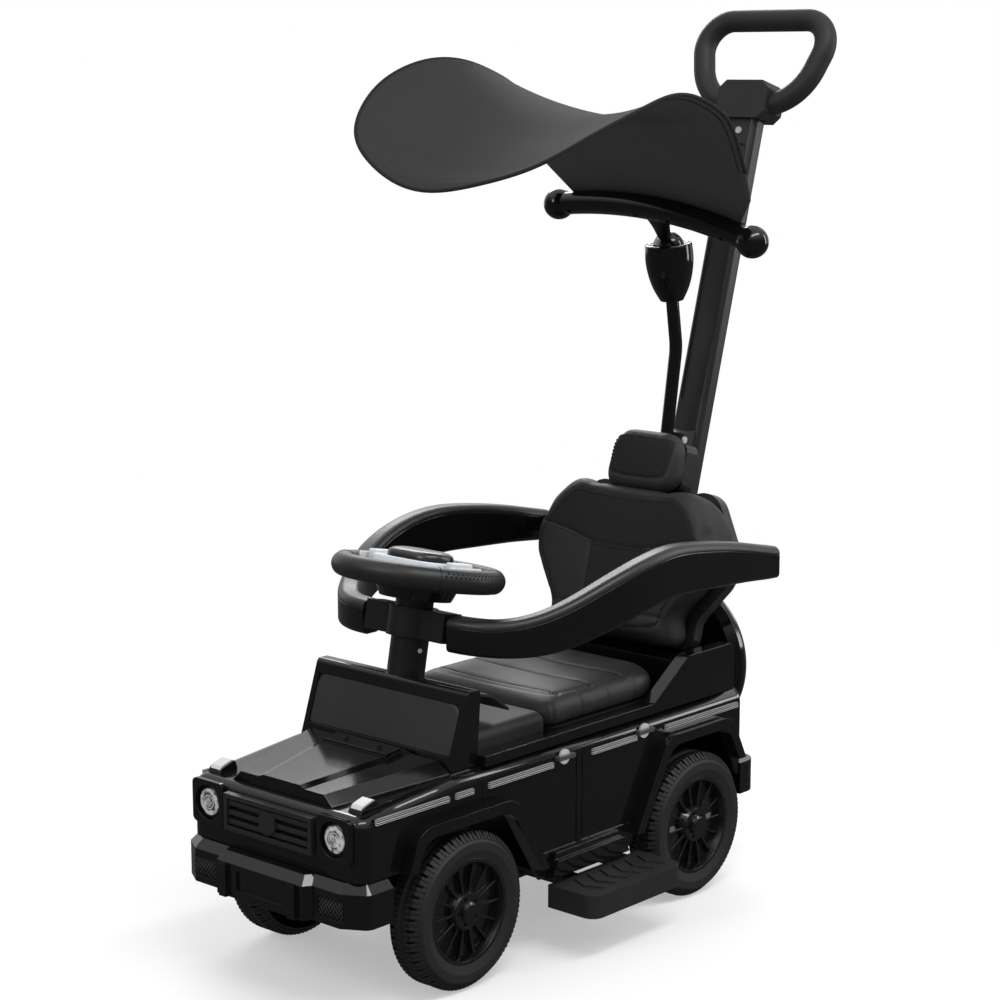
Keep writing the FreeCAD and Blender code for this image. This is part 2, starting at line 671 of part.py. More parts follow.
# Stub axles: shouldered bolts whose heads sit in the hub pockets
stub_foot = s.kingpin_y - s.knuckle_radius / 2
shank = rod("stub_shank", s.axle_radius, nut_floor + s.seat_gap - stub_foot,
            (front_axle_x, stub_foot, s.wheel_radius), "Y")
head = rod("stub_head", s.nut_radius - s.seat_gap, s.nut_thickness,
           (front_axle_x, nut_floor + s.seat_gap, s.wheel_radius), "Y")
stub = fuse("stub_axle", shank, head)
knuckle_left = group("knuckle_left", barrel_piece.body, stub)
keep("knuckle_left", knuckle_left)
keep("knuckle_right", mirror("knuckle_right", knuckle_left))

# Tie rod: joins the two steering arms, with a slot for the column's crank pin
tie = Piece("tie_rod")
tie_half = s.tie_rod_width / 2
tie_end = s.kingpin_y + tie_half
hole_radius = s.arm_pin_radius + s.running_gap
slot_half = s.crank_pin_radius + s.crank_slot_gap
slot_end = s.crank_slot_length / 2
tie_mid = slot_end + s.arm_pin_radius
tie.pad("XY", [[
    (tie_x - tie_half, -tie_end, tie_half * end_round_share),
    (tie_x + tie_half, -tie_end, tie_half * end_round_share),
    (tie_x + tie_half, -tie_mid * 2), (tie_x + tie_mid, -tie_mid), (tie_x + tie_mid, tie_mid),
    (tie_x + tie_half, tie_mid * 2),
    (tie_x + tie_half, tie_end, tie_half * end_round_share),
    (tie_x - tie_half, tie_end, tie_half * end_round_share),
    (tie_x - tie_half, tie_mid * 2), (tie_x - tie_mid, tie_mid), (tie_x - tie_mid, -tie_mid),
    (tie_x - tie_half, -tie_mid * 2),
]], tie_low, tie_high)
slot = rectangle(tie_x - slot_end, tie_x + slot_end, -slot_half, slot_half, slot_half * end_round_share)
tie.pocket("XY", [slot], tie_low - s.overrun, tie_high + s.overrun,
           [(tie_x, s.kingpin_y, hole_radius), (tie_x, -s.kingpin_y, hole_radius)])

# Column frame: its foot lies on the steering axis at the tie rod's height
column_x = tie_x + s.crank_length * cosine(s.column_tilt_angle)
column_z = (tie_low + tie_high) / 2


def on_column(target):
    return place(target, column_x, zero, column_z, (0, 1, 0), -s.column_tilt_angle)


# Distance along the column at which its axis crosses a level
def up_column(level):
    return (level - column_z) / cosine(s.column_tilt_angle)


# Steering shaft: a rod with a crank above the tie rod and a foot in the front beam
shaft = Piece("steering_shaft")
shaft_top = s.wheel_height - s.insert_drop - s.insert_thickness - s.bowl_wall
crank_low = s.crank_rise
crank_high = crank_low + s.crank_thickness
shaft.pad("XY", [], -column_z + s.floor_z - s.shaft_foot, shaft_top, [(zero, zero, s.shaft_radius)])
crank_half = s.crank_width / 2
shaft.pad("XY", [[
    (zero, -crank_half), (crank_half, -crank_half, crank_half * end_round_share),
    (crank_half, crank_half, crank_half * end_round_share),
    (zero, crank_half), (-s.crank_length - crank_half, crank_half, crank_half * end_round_share),
    (-s.crank_length - crank_half, -crank_half, crank_half * end_round_share),
]], crank_low, crank_high)
shaft.pad("XY", [], -s.tie_rod_thickness / 2, crank_high, [(-s.crank_length, zero, s.crank_pin_radius)])
on_column(shaft.body)

# Front beam: carries the kingpins between ears, and the foot of the steering shaft
beam_low_x = front_axle_x - s.beam_depth / 2 - s.beam_shift
beam_high_x = front_axle_x + s.beam_depth / 2 - s.beam_shift
beam = Piece("front_beam_block", kept=False)
ear_low = knuckle_low - s.slide_gap - s.ear_thickness
ear_high = knuckle_high + s.slide_gap + s.ear_thickness
ear_end = s.kingpin_y + s.knuckle_radius
beam.pad("XZ", [rectangle(beam_low_x, beam_high_x, s.floor_z - s.beam_height, s.floor_z)],
         -s.ear_inner_y, s.ear_inner_y)
ear_half = s.ear_width / 2
for ear_side in (1, -1):
    inner_y = s.ear_inner_y * ear_side
    wall_y = (s.ear_inner_y - s.ear_thickness) * ear_side
    outer_y = ear_end * ear_side
    low_y, high_y = (wall_y, inner_y) if ear_side > 0 else (inner_y, wall_y)
    beam.pad("XZ", [rectangle(front_axle_x - ear_half, front_axle_x + ear_half, ear_low, ear_high)], low_y,
        high_y)
    tip = [(front_axle_x - ear_half, wall_y), (front_axle_x + ear_half, wall_y),
           (front_axle_x + ear_half, outer_y, s.knuckle_radius),
           (front_axle_x - ear_half, outer_y, s.knuckle_radius)]
    hole = [(front_axle_x, s.kingpin_y * ear_side, s.kingpin_radius + s.running_gap)]
    beam.pad("XY", [tip], ear_low, ear_low + s.ear_thickness, hole)
    beam.pad("XY", [tip], ear_high - s.ear_thickness, ear_high, hole)
shaft_hole_low = doc.addObject("Part::Cylinder", "shaft_foot_socket")
bind(shaft_hole_low, Radius=s.shaft_radius + s.running_gap, Height=s.socket_length)
tilt = s.column_tilt_angle
reach_down = s.socket_length - s.shaft_foot
place(shaft_hole_low, column_x + reach_down * sine(tilt), zero, column_z - reach_down * cosine(tilt),
      (0, 1, 0), -tilt)
keep("front_beam", cut("front_beam", beam.body, shaft_hole_low))

# Floor pan: narrow between the wheels, wide between the arches, with axle blocks and footrest guides
floor = Piece("floor_pan_block", kept=False)
floor_top = s.floor_z + s.floor_thickness
floor.pad("XY", [[
    (s.floor_rear_x, -s.floor_wheel_half), (s.floor_mid_rear_x, -s.floor_wheel_half),
    (s.floor_mid_rear_x, -s.floor_half_width), (s.floor_mid_front_x, -s.floor_half_width),
    (s.floor_mid_front_x, -s.floor_front_half), (beam_high_x, -s.floor_front_half),
    (beam_high_x, s.floor_front_half), (s.floor_mid_front_x, s.floor_front_half),
    (s.floor_mid_front_x, s.floor_half_width), (s.floor_mid_rear_x, s.floor_half_width),
    (s.floor_mid_rear_x, s.floor_wheel_half), (s.floor_rear_x, s.floor_wheel_half),
]], s.floor_z, floor_top)
axle_block_low = s.wheel_radius - s.axle_radius - s.axle_block_drop
axle_block_half = s.axle_block_depth / 2
for low_y, high_y in ((s.axle_block_y, s.axle_block_y + s.axle_block_width),
                      (-s.axle_block_y - s.axle_block_width, -s.axle_block_y)):
    outline = rectangle(s.rear_axle_x - axle_block_half, s.rear_axle_x + axle_block_half,
                        axle_block_low, floor_top - s.floor_thickness / 2)
    floor.pad("XZ", [outline], low_y, high_y)
axle_bore = (s.rear_axle_x, s.wheel_radius, s.axle_radius + s.running_gap)
floor.pocket("XZ", [], -s.floor_wheel_half, s.floor_wheel_half, [axle_bore])

tongue_high = s.footrest_top_z - s.tongue_drop
tongue_low = tongue_high - s.tongue_height
guide_low = tongue_low - s.slide_gap - s.guide_wall
slot_side = s.tongue_width / 2 + s.slide_gap
guide_side = slot_side + s.guide_wall
for tongue_shift in (-s.tongue_far, -s.tongue_near, s.tongue_near, s.tongue_far):
    middle = s.footrest_x + tongue_shift
    floor.pad("XZ", [rectangle(middle - guide_side, middle + guide_side, guide_low,
        floor_top - s.floor_thickness / 2)],
              -s.guide_half, s.guide_half)
for tongue_shift in (-s.tongue_far, -s.tongue_near, s.tongue_near, s.tongue_far):
    middle = s.footrest_x + tongue_shift
    channel = rectangle(middle - slot_side, middle + slot_side,
                        tongue_low - s.slide_gap, tongue_high + s.slide_gap)
    lightening = rectangle(middle - slot_side, middle + slot_side,
                           tongue_high + s.slide_gap + s.guide_wall, s.floor_z)
    floor.pocket("XZ", [channel, lightening], -s.guide_half - s.overrun, s.guide_half + s.overrun)
keep("floor_pan", cut("floor_pan", floor.body, shaft_hole_low))


# Footrests: ribbed treads on two tongues that slide in guides under the floor
def make_footrest(label):
    piece = Piece(label)
    half = s.footrest_length / 2
    low = s.footrest_top_z - s.footrest_height
    tread = [(-half, s.footrest_inner_y), (half, s.footrest_inner_y),
             (half, s.footrest_outer_y, s.footrest_corner), (-half, s.footrest_outer_y, s.footrest_corner)]
    piece.pad("XY", [tread], low, s.footrest_top_z)
    inner = half - s.footrest_wall
    hollow = rectangle(-inner, inner, s.footrest_inner_y + s.footrest_wall,
                       s.footrest_outer_y - s.footrest_wall,
                       s.footrest_corner - s.footrest_wall)
    piece.pocket("XY", [hollow], low - s.overrun, s.footrest_top_z - s.footrest_wall)
    for shift in (-s.tongue_far, s.tongue_near):
        side = s.tongue_width / 2
        piece.pad("XZ", [rectangle(shift - side, shift + side, tongue_low, tongue_high)],
                  s.tongue_inner_y, s.footrest_inner_y + s.footrest_wall)
    start = s.rib_margin - half
    near = s.footrest_inner_y + s.rib_margin
    far = s.footrest_outer_y - s.rib_margin
    bend = (near + far) / 2
    chevron = [(start, near), (start + s.rib_width, near), (start + s.rib_width + s.rib_sweep, bend),
               (start + s.rib_width, far), (start, far), (start + s.rib_sweep, bend)]
    ribs = piece.pad("XY", [chevron], s.footrest_top_z, s.footrest_top_z + s.rib_rise)
    piece.repeat_along(ribs, "X", s.rib_pitch * (s.rib_count - 1), s.rib_count)
    return piece


place(make_footrest("footrest_left").body, s.footrest_x)
place(make_footrest("footrest_right").body, s.footrest_x, zero, zero, (0, 0, 1), half_turn)

# Body shell: a lower hull, an upper rail that kicks up at the rear, then the cockpit and the hollow
half = s.body_half_width
upper_half = half - s.belt_inset
upper_rear = s.body_rear_x + s.belt_rear_inset
body = Piece("body_block", kept=False)
body.pad("XZ", [[
    (s.body_rear_x, s.rear_skirt_z), (s.body_rear_x, s.belt_z), (s.cowl_x, s.belt_z),
    (s.body_front_x, s.fender_front_z, s.nose_round), (s.body_front_x, s.front_skirt_z),
    (front_axle_x, s.front_skirt_z), (front_axle_x, s.sill_z), (s.rear_axle_x, s.sill_z),
    (s.rear_axle_x, s.rear_skirt_z),
]], -half, half)
body.round(both(runs_along((0, 0, 1)), lies_at(0, s.body_front_x)), s.corner_round)
body.pad("XZ", [[
    (upper_rear, s.belt_z), (upper_rear, s.rear_top_z, s.rail_round),
    (s.kick_top_x, s.rear_top_z, s.rail_round), (s.kick_low_x, s.rail_z, s.rail_round),
    (s.rail_front_x, s.rail_z), (s.rail_front_x, s.belt_z),
]], -upper_half, upper_half)
body.pocket("XY", [rectangle(s.cockpit_rear_x, s.rail_front_x + s.overrun, -s.cockpit_half, s.cockpit_half)],
            s.deck_z, s.rear_top_z + s.overrun)
body.pocket("XY", [rectangle(upper_rear + s.body_wall, s.cockpit_rear_x + s.overrun, -s.cockpit_half,
    s.cockpit_half)],
            s.trunk_z, s.rear_top_z + s.overrun)
inner_half = half - s.body_wall
roof = s.belt_z - s.body_wall
nose = s.body_front_x - s.body_wall
body.pocket("XZ", [[
    (s.body_rear_x + s.body_wall, s.sill_z - s.overrun), (s.body_rear_x + s.body_wall, roof),
    (s.cowl_x, roof), (nose, s.fender_front_z - s.body_wall, s.nose_round), (nose, s.sill_z - s.overrun),
]], s.corner_round - inner_half, inner_half - s.corner_round)
body.pocket("XZ", [[
    (s.body_rear_x + s.body_wall, s.sill_z - s.overrun), (s.body_rear_x + s.body_wall, roof),
    (s.cowl_x, roof), (nose - s.corner_round, s.fender_front_z - s.body_wall),
    (nose - s.corner_round, s.sill_z - s.overrun),
]], -inner_half, inner_half)
trunk_half = s.cockpit_half - s.body_wall
body.pocket("XY", [rectangle(upper_rear + s.body_wall, s.cockpit_rear_x - s.body_wall, -trunk_half,
    trunk_half)],
            roof - s.overrun, s.trunk_z - s.body_wall)
side_cut = half + s.overrun
front_arch = [(s.front_leg_nose_x, s.arch_foot_z), (s.front_arch_nose_x, s.front_arch_top_z, s.arch_round),
              (s.front_arch_tail_x, s.front_arch_top_z, s.arch_round), (s.front_leg_tail_x, s.arch_foot_z)]
rear_arch = [(s.rear_leg_nose_x, s.arch_foot_z), (s.rear_arch_nose_x, s.rear_arch_top_z, s.arch_round),
             (s.rear_arch_tail_x, s.rear_arch_top_z, s.arch_round), (s.rear_leg_tail_x, s.arch_foot_z)]
body.pocket("XZ", [front_arch, rear_arch], -side_cut, side_cut)
tray_hole = rectangle(s.tray_rear_x - s.slide_gap, s.tray_front_x + s.slide_gap,
                      -s.tray_half - s.slide_gap, s.tray_half + s.slide_gap, s.tray_round)
body.pocket("XY", [tray_hole], roof - s.overrun, s.deck_z + s.overrun)


# Door lines: a closed groove round each door
def door_line(start, length):
    line = s.door_line_width
    outer = rectangle(start, start + length, s.door_low_z, s.door_high_z)
    inner = rectangle(start + line, start + length - line, s.door_low_z + line, s.door_high_z - line)
    return [outer, inner]


for start, length in ((s.front_door_x, s.front_door_length), (s.rear_door_x, s.rear_door_length)):
    body.pocket("XZ", door_line(start, length), half - s.door_line_depth, side_cut)
    body.pocket("XZ", door_line(start, length), -side_cut, s.door_line_depth - half)
lamp_hole = s.lamp_radius + s.seat_gap
front_cut = s.body_front_x + s.overrun
grille_hole = rectangle(-s.grille_half_width, s.grille_half_width, s.grille_low_z, s.grille_high_z)
body.pocket("YZ", [grille_hole], nose - s.corner_round, front_cut,
            [(s.lamp_y, s.lamp_z, lamp_hole), (-s.lamp_y, s.lamp_z, lamp_hole)])

# Handle post socket: a sleeve let into the rear wall, square to the leaning post
post_half_width = s.post_width / 2
post_half_depth = s.post_depth / 2


def on_post(target):
    return place(target, s.post_foot_x, zero, s.post_foot_z, (0, 1, 0), -s.post_lean_angle)


def post_section(growth):
    return rectangle(-post_half_depth - growth, post_half_depth + growth,
                     -post_half_width - growth, post_half_width + growth, s.post_round + growth)


socket = Piece("post_socket", kept=False)
socket.pad("XY", [post_section(s.socket_wall)], -s.socket_wall, s.socket_height)
socket.pocket("XY", [post_section(s.running_gap)], zero, s.socket_height + s.overrun)
on_post(socket.body)
socket_room = Piece("socket_room", kept=False)
socket_room.pad("XY", [post_section(s.socket_wall)], -s.socket_wall, s.socket_height)
on_post(socket_room.body)
tower_room = rod("tower_bore_room", s.tower_bore, s.tower_top, (zero, zero, zero), "Z")
on_column(tower_room)
hull = cut("hull", body.body, socket_room.body, tower_room)
keep("body_shell", fuse("body_shell", hull, socket.body))


# Arch flares: bands that stand out round each opening
def leg_x(leg, arch, top, level):
    return leg + (arch - leg) * ((level - s.arch_foot_z) / (top - s.arch_foot_z))


def make_flare(label, nose_leg, nose_arch, tail_arch, tail_leg, top, nose_level, tail_level):
    band = s.flare_band
    piece = Piece(label, kept=False)
    nose_foot = leg_x(nose_leg, nose_arch, top, nose_level)
    tail_foot = leg_x(tail_leg, tail_arch, top, tail_level)
    piece.pad("XZ", [[
        (nose_foot, nose_level), (nose_arch, top, s.arch_round), (tail_arch, top, s.arch_round),
        (tail_foot, tail_level), (tail_foot - band, tail_level),
        (tail_arch - band * slope_share, top + band, s.arch_round),
        (nose_arch + band * slope_share, top + band, s.arch_round),
        (nose_foot + band, nose_level),
    ]], half, half + s.flare_rise)
    return [piece.body, mirror(label + "_right", piece.body)]


flares = make_flare("front_flare", s.front_leg_nose_x, s.front_arch_nose_x, s.front_arch_tail_x,
                    s.front_leg_tail_x,
                    s.front_arch_top_z, s.flare_nose_z, s.flare_foot_z)
flares += make_flare("rear_flare", s.rear_leg_nose_x, s.rear_arch_nose_x, s.rear_arch_tail_x,
                     s.rear_leg_tail_x,
                     s.rear_arch_top_z, s.flare_foot_z, s.flare_nose_z)
keep("arch_flares", group("arch_flares", *flares))

# Sills: stepped strips between the arches
sill = Piece("sill_strip", kept=False)
sill.pad("XZ", [[
    (s.sill_tail_x, s.sill_z), (s.sill_nose_x, s.sill_z), (s.sill_nose_x - s.sill_slope, s.sill_top_z),
    (s.sill_tail_x + s.sill_slope, s.sill_top_z),
]], half, half + s.sill_rise)
sill.pocket("XZ", [rectangle(s.sill_tail_x - s.overrun, s.sill_nose_x + s.overrun, s.sill_top_z - s.sill_step,
                             s.sill_top_z + s.overrun)], half + s.sill_rise / 2,
                             half + s.sill_rise + s.overrun)
keep("sills", group("sills", sill.body, mirror("sill_strip_right", sill.body)))

# Side trims and door handles
trim_spans = [(s.cowl_x + s.trim_front_start, s.trim_front_length),
              (s.cowl_x - s.trim_short_start, s.trim_short_length),
              (s.front_door_x + s.trim_door_start, s.trim_front_door_length),
              (s.rear_door_x + s.trim_rear_door_start, s.trim_rear_door_length),
              (upper_rear, s.trim_rear_length)]
strips = []
for index, (start, length) in enumerate(trim_spans):
    strip = Piece(f"trim_strip_{index}", kept=False)
    strip.pad("XZ", [rectangle(start, start + length, s.trim_low_z, s.trim_high_z)], half, half + s.trim_rise)
    strip.bevel(both(runs_along((1, 0, 0)), lies_at(1, half + s.trim_rise)), s.trim_bevel)
    for share in (third_share, 1 - third_share):
        line_low = s.trim_low_z + (s.trim_high_z - s.trim_low_z) * share - s.trim_line / 2
        strip.pocket("XZ", [rectangle(start - s.overrun, start + length + s.overrun, line_low,
                                      line_low + s.trim_line)],
                     half + s.trim_rise - s.trim_line, half + s.trim_rise + s.overrun)
    strips.append(strip.body)
strips += [mirror("trim_strip_right", strip) for strip in strips]
keep("side_trims", group("side_trims", *strips))

levers = []
for index, lever_x in enumerate((s.front_handle_x, s.rear_handle_x)):
    lever = Piece(f"door_lever_{index}", kept=False)
    low = s.handle_z - s.handle_plate_height / 2
    high = s.handle_z + s.handle_plate_height / 2
    lever.pad("XZ", [rectangle(lever_x - s.handle_plate_length / 2, lever_x + s.handle_plate_length / 2,
                               low, high,
                               s.handle_plate_height * third_share)], half, half + s.handle_plate_rise)
    lever.pad("XZ", [], half, half + s.lock_rise,
              [(lever_x, s.handle_z, s.lock_radius)])
    levers.append(lever.body)
levers += [mirror("door_lever_right", lever) for lever in levers]
keep("door_handles", group("door_handles", *levers))


# Top line of the fenders, which the hood and the lamps sit on
def fender_line(x):
    return s.belt_z - (x - s.cowl_x) * ((s.belt_z - s.fender_front_z) / (s.body_front_x - s.cowl_x))


# Hood: a bevelled panel with a raised middle, narrower at the nose
def hood_section(x, low_half, top_half, low, high):
    return x, [(-low_half, low), (low_half, low), (top_half, high), (-top_half, high)]


hood = Piece("hood")
hood_nose = fender_line(s.hood_front_x)
hood.loft("YZ", [
    hood_section(s.cowl_x, s.hood_rear_half, s.hood_rear_top_half, s.belt_z, s.belt_z + s.hood_rise),
    hood_section(s.hood_front_x, s.hood_front_half, s.hood_front_top_half, hood_nose,
        hood_nose + s.hood_rise),
])
bulge_low = s.hood_rise
bulge_high = s.hood_rise + s.bulge_rise
hood.loft("YZ", [
    hood_section(s.cowl_x, s.bulge_rear_half, s.bulge_rear_half - s.bulge_slope,
                 s.belt_z + bulge_low, s.belt_z + bulge_high),
    hood_section(s.hood_front_x, s.bulge_front_half, s.bulge_front_half - s.bulge_slope,
                 hood_nose + bulge_low, hood_nose + bulge_high),
])

# Cowl vent with two washer nozzles, on the rear of the hood
vent_rear = s.cowl_x + s.vent_gap
vent_front = vent_rear + s.vent_length
vent_low = bulge_high
vent_high = bulge_high + s.vent_rise
hood.pad("XZ", [[
    (vent_rear, fender_line(vent_rear) + vent_low), (vent_front, fender_line(vent_front) + vent_low),
    (vent_front, fender_line(vent_front) + vent_high), (vent_rear, fender_line(vent_rear) + vent_high),
]], -s.vent_half_width, s.vent_half_width)
nozzle_x = (vent_rear + vent_front) / 2
nozzle_z = fender_line(nozzle_x) + bulge_high
hood.pad("XY", [], nozzle_z + s.vent_rise / 2, nozzle_z + s.vent_rise + s.nozzle_rise,
         [(nozzle_x, s.nozzle_y, s.nozzle_radius), (nozzle_x, -s.nozzle_y, s.nozzle_radius)])

# Grille: a frame with slats in front of a mesh panel, and a plain round boss
grille = Piece("grille")
grille_edge = s.grille_half_width - s.seat_gap
grille_low = s.grille_low_z + s.seat_gap
grille_high = s.grille_high_z - s.seat_gap
grille_face = s.body_front_x + s.grille_depth
grille.pad("YZ", [
    rectangle(-grille_edge, grille_edge, grille_low, grille_high),
    rectangle(s.grille_frame - grille_edge, grille_edge - s.grille_frame, grille_low + s.grille_frame,
              grille_high - s.grille_frame),
], nose, grille_face)
grille.pad("YZ", [rectangle(-grille_edge, grille_edge, grille_low, grille_high)], nose,
    nose + s.mesh_thickness)
slat_pitch = (grille_high - grille_low) / (s.slat_count + 1)
slat_low = grille_low + slat_pitch - s.slat_height / 2
slat_face = grille_face - s.grille_depth * quarter_share
first_slat = grille.pad("YZ", [rectangle(-grille_edge, grille_edge, slat_low, slat_low + s.slat_height)],
                        slat_face - s.slat_depth, slat_face)
grille.repeat_along(first_slat, "Z", slat_pitch * (s.slat_count - 1), s.slat_count)
grille_middle = (grille_low + grille_high) / 2
grille.pad("YZ", [], nose + s.mesh_thickness / 2, grille_face, [(zero, grille_middle, s.emblem_radius)])

# Headlights: a square bezel and a domed lens; turn signals on the fenders
bezels, lenses, signals = [], [], []
lens_shares = ((0.8, 0.6), (0.45, 0.92))
for side, sign in (("left", 1), ("right", -1)):
    bezel = Piece(f"bezel_{side}", kept=False)
    middle = s.lamp_y * sign
    bezel.pad("YZ", [rectangle(middle - s.bezel_half, middle + s.bezel_half, s.lamp_z - s.bezel_half,
                               s.lamp_z + s.bezel_half, s.bezel_corner)],
              s.body_front_x, s.body_front_x + s.bezel_rise, [(middle, s.lamp_z, lamp_hole)])
    lens = Piece(f"lens_{side}", kept=False)
    lens.turn("XZ", [
        (zero, -s.lamp_depth), (s.lamp_radius, -s.lamp_depth), (s.lamp_radius, zero),
        *[(s.lamp_radius * across, s.lamp_dome * up) for across, up in lens_shares], (zero, s.lamp_dome),
    ])
    place(lens.body, s.body_front_x, middle, s.lamp_z, (0, 1, 0), quarter_turn)
    signal = Piece(f"signal_{side}", kept=False)
    tail = s.signal_x
    tip = s.signal_x + s.signal_length
    signal.pad("XZ", [[
        (tail, fender_line(tail)), (tip, fender_line(tip)),
        (tip - s.signal_round, fender_line(tip) + s.signal_rise * slope_share, s.signal_round),
        (tail + s.signal_round, fender_line(tail) + s.signal_rise, s.signal_round),
    ]], s.signal_y * sign - s.signal_half_width, s.signal_y * sign + s.signal_half_width)
    bezels.append(bezel.body)
    lenses.append(lens.body)
    signals.append(signal.body)
keep("headlight_bezels", group("headlight_bezels", *bezels))
keep("headlight_lenses", group("headlight_lenses", *lenses))
keep("turn_signals", group("turn_signals", *signals))


# Front bumper: a stepped shell with a bevelled shelf, mesh windows and a blank plate recess
def bumper_plan(inset, end):
    wide = s.bumper_half_width - inset
    face = s.bumper_front_x - inset
    step = face - s.bumper_step
    shoulder = s.bumper_middle_half - inset
    side = [(end, wide), (step - s.bumper_corner * slope_share, wide, s.bumper_corner * corner_share),
            (step, wide - s.bumper_corner), (step, shoulder + s.bumper_step * slope_share), (face, shoulder)]
    return side + [(point[0], -point[1]) + tuple(point[2:]) for point in reversed(side)]


bumper = Piece("front_bumper")
bumper.pad("XY", [bumper_plan(zero, s.bumper_end_x)], s.bumper_low_z, s.bumper_high_z)


def faces_forward(edge):
    ahead = edge.BoundBox.XMax > float(s.bumper_end_x + s.overrun)
    return ahead and edge.BoundBox.YLength < float(s.bumper_half_width)


bumper.bevel(both(lies_at(2, s.bumper_high_z), faces_forward), s.bumper_shelf)
bumper.pocket("XY", [bumper_plan(s.bumper_wall, s.bumper_end_x - s.overrun)],
              s.bumper_low_z - s.overrun, s.bumper_high_z - s.bumper_shelf - s.bumper_wall)
bumper_cut = s.bumper_front_x + s.overrun + s.bumper_post_rise
bumper.pocket("YZ", [rectangle(-s.plate_half_width, s.plate_half_width, s.plate_low_z, s.plate_high_z)],
              s.bumper_front_x - s.plate_depth, bumper_cut)
window_face = s.bumper_front_x - s.bumper_step
for sign in (1, -1):
    ends = sorted((s.mesh_window_y * sign, (s.mesh_window_y + s.mesh_window_width) * sign), key=float)
    bumper.pocket("YZ", [rectangle(ends[0], ends[1], s.mesh_window_low_z, s.mesh_window_high_z)],
                  window_face - s.mesh_window_depth, bumper_cut)
    low_y = s.bumper_post_y * sign - s.bumper_post_half
    bumper.pad("YZ", [rectangle(low_y, low_y + s.bumper_post_half * 2, s.bumper_low_z,
                                s.bumper_high_z - s.bumper_shelf)],
               s.bumper_front_x - s.bumper_wall / 2, s.bumper_front_x + s.bumper_post_rise)

# Rear bumper: a hollow bar across the tail
rear_bumper = Piece("rear_bumper")
tail_half = s.rear_bumper_half
rear_bumper.pad("XY", [[
    (s.body_rear_x, -tail_half), (s.body_rear_x, tail_half),
    (s.rear_bumper_x, tail_half, s.rear_bumper_corner), (s.rear_bumper_x, -tail_half, s.rear_bumper_corner),
]], s.rear_bumper_low_z, s.rear_bumper_high_z)
tail_inner = tail_half - s.bumper_wall
rear_bumper.pocket("XY", [rectangle(s.rear_bumper_x + s.bumper_wall, s.body_rear_x - s.bumper_wall,
                                    -tail_inner, tail_inner, s.rear_bumper_corner / 2)],
                   s.rear_bumper_low_z - s.overrun, s.rear_bumper_high_z - s.bumper_wall)

# Windshield, dash brim and console all make room for the steering tower
tower_notch = rod("tower_notch", s.tower_radius + s.running_gap, s.tower_top, (zero, zero, zero), "Z")
on_column(tower_notch)
screen = Piece("windshield_block", kept=False)
screen.pad("XZ", [[
    (s.screen_low_x, s.belt_z), (s.screen_high_x, s.screen_high_z, s.screen_round),
    (s.screen_tail_high_x, s.screen_high_z, s.screen_round), (s.screen_tail_x, s.belt_z),
]], -s.screen_half, s.screen_half)


def screen_x(level):
    rise = (level - s.belt_z) / (s.screen_high_z - s.belt_z)
    return s.screen_low_x + (s.screen_high_x - s.screen_low_x) * rise


pane_low = s.belt_z + s.hood_rise + s.bulge_rise
pane_high = s.screen_high_z - s.screen_border * 2
screen.pocket("XZ", [[
    (screen_x(pane_low) - s.screen_pane_depth, pane_low), (screen_x(pane_low) + s.overrun, pane_low),
    (screen_x(pane_high) + s.overrun, pane_high), (screen_x(pane_high) - s.screen_pane_depth, pane_high),
]], s.screen_border - s.screen_half, s.screen_half - s.screen_border)
keep("windshield", cut("windshield", screen.body, tower_notch))

brim = Piece("brim_block", kept=False)
brim_front = s.screen_tail_high_x
brim_high = s.screen_high_z - s.screen_round
brim_low = brim_high - s.brim_drop
brim_bend = (brim_front + s.brim_rear_x) / 2
brim_knee = brim_high - s.brim_drop * quarter_share
brim.pad("XZ", [[
    (brim_front, brim_high), (brim_bend, brim_knee, s.brim_round),
    (s.brim_rear_x, brim_low), (s.brim_rear_x, brim_low - s.brim_thickness),
    (brim_bend, brim_knee - s.brim_thickness, s.brim_round),
    (brim_front, brim_high - s.brim_thickness),
]], -s.brim_half, s.brim_half)
keep("dash_brim", cut("dash_brim", brim.body, tower_notch))

console = Piece("console_block", kept=False)
console.pad("XZ", [[
    (s.console_rear_x, s.deck_z), (s.console_rear_x, s.console_top_z, s.console_round),
    (s.console_front_x, s.console_top_z), (s.console_front_x, s.deck_z),
]], -s.console_half, s.console_half)
console.round(both(runs_along((1, 0, 0)), lies_at(2, s.console_top_z)), s.console_round * end_round_share)
console_inner = s.console_half - s.console_wall
console.pocket("XZ", [rectangle(s.console_rear_x + s.console_wall, s.console_front_x - s.console_wall,
                                s.deck_z - s.overrun, s.console_top_z - s.console_round)],
               -console_inner, console_inner)
keep("front_console", cut("front_console", console.body, tower_notch))

# Storage tray: a flanged box let into the deck under the seat
tray = Piece("storage_tray")
tray_top = s.deck_z + s.tray_flange_thickness
tray.pad("XY", [rectangle(s.tray_rear_x, s.tray_front_x, -s.tray_half, s.tray_half, s.tray_round)],
         s.tray_floor_z, tray_top)
tray.pad("XY", [rectangle(s.tray_rear_x - s.tray_flange, s.tray_front_x + s.tray_flange,
                          -s.tray_half - s.tray_flange, s.tray_half + s.tray_flange, s.tray_round)],
         s.deck_z, tray_top)
tray.pocket("XY", [rectangle(s.tray_rear_x + s.tray_wall, s.tray_front_x - s.tray_wall,
                             s.tray_wall - s.tray_half,
                             s.tray_half - s.tray_wall, s.tray_round - s.tray_wall)],
            s.tray_floor_z + s.tray_wall, tray_top + s.overrun)


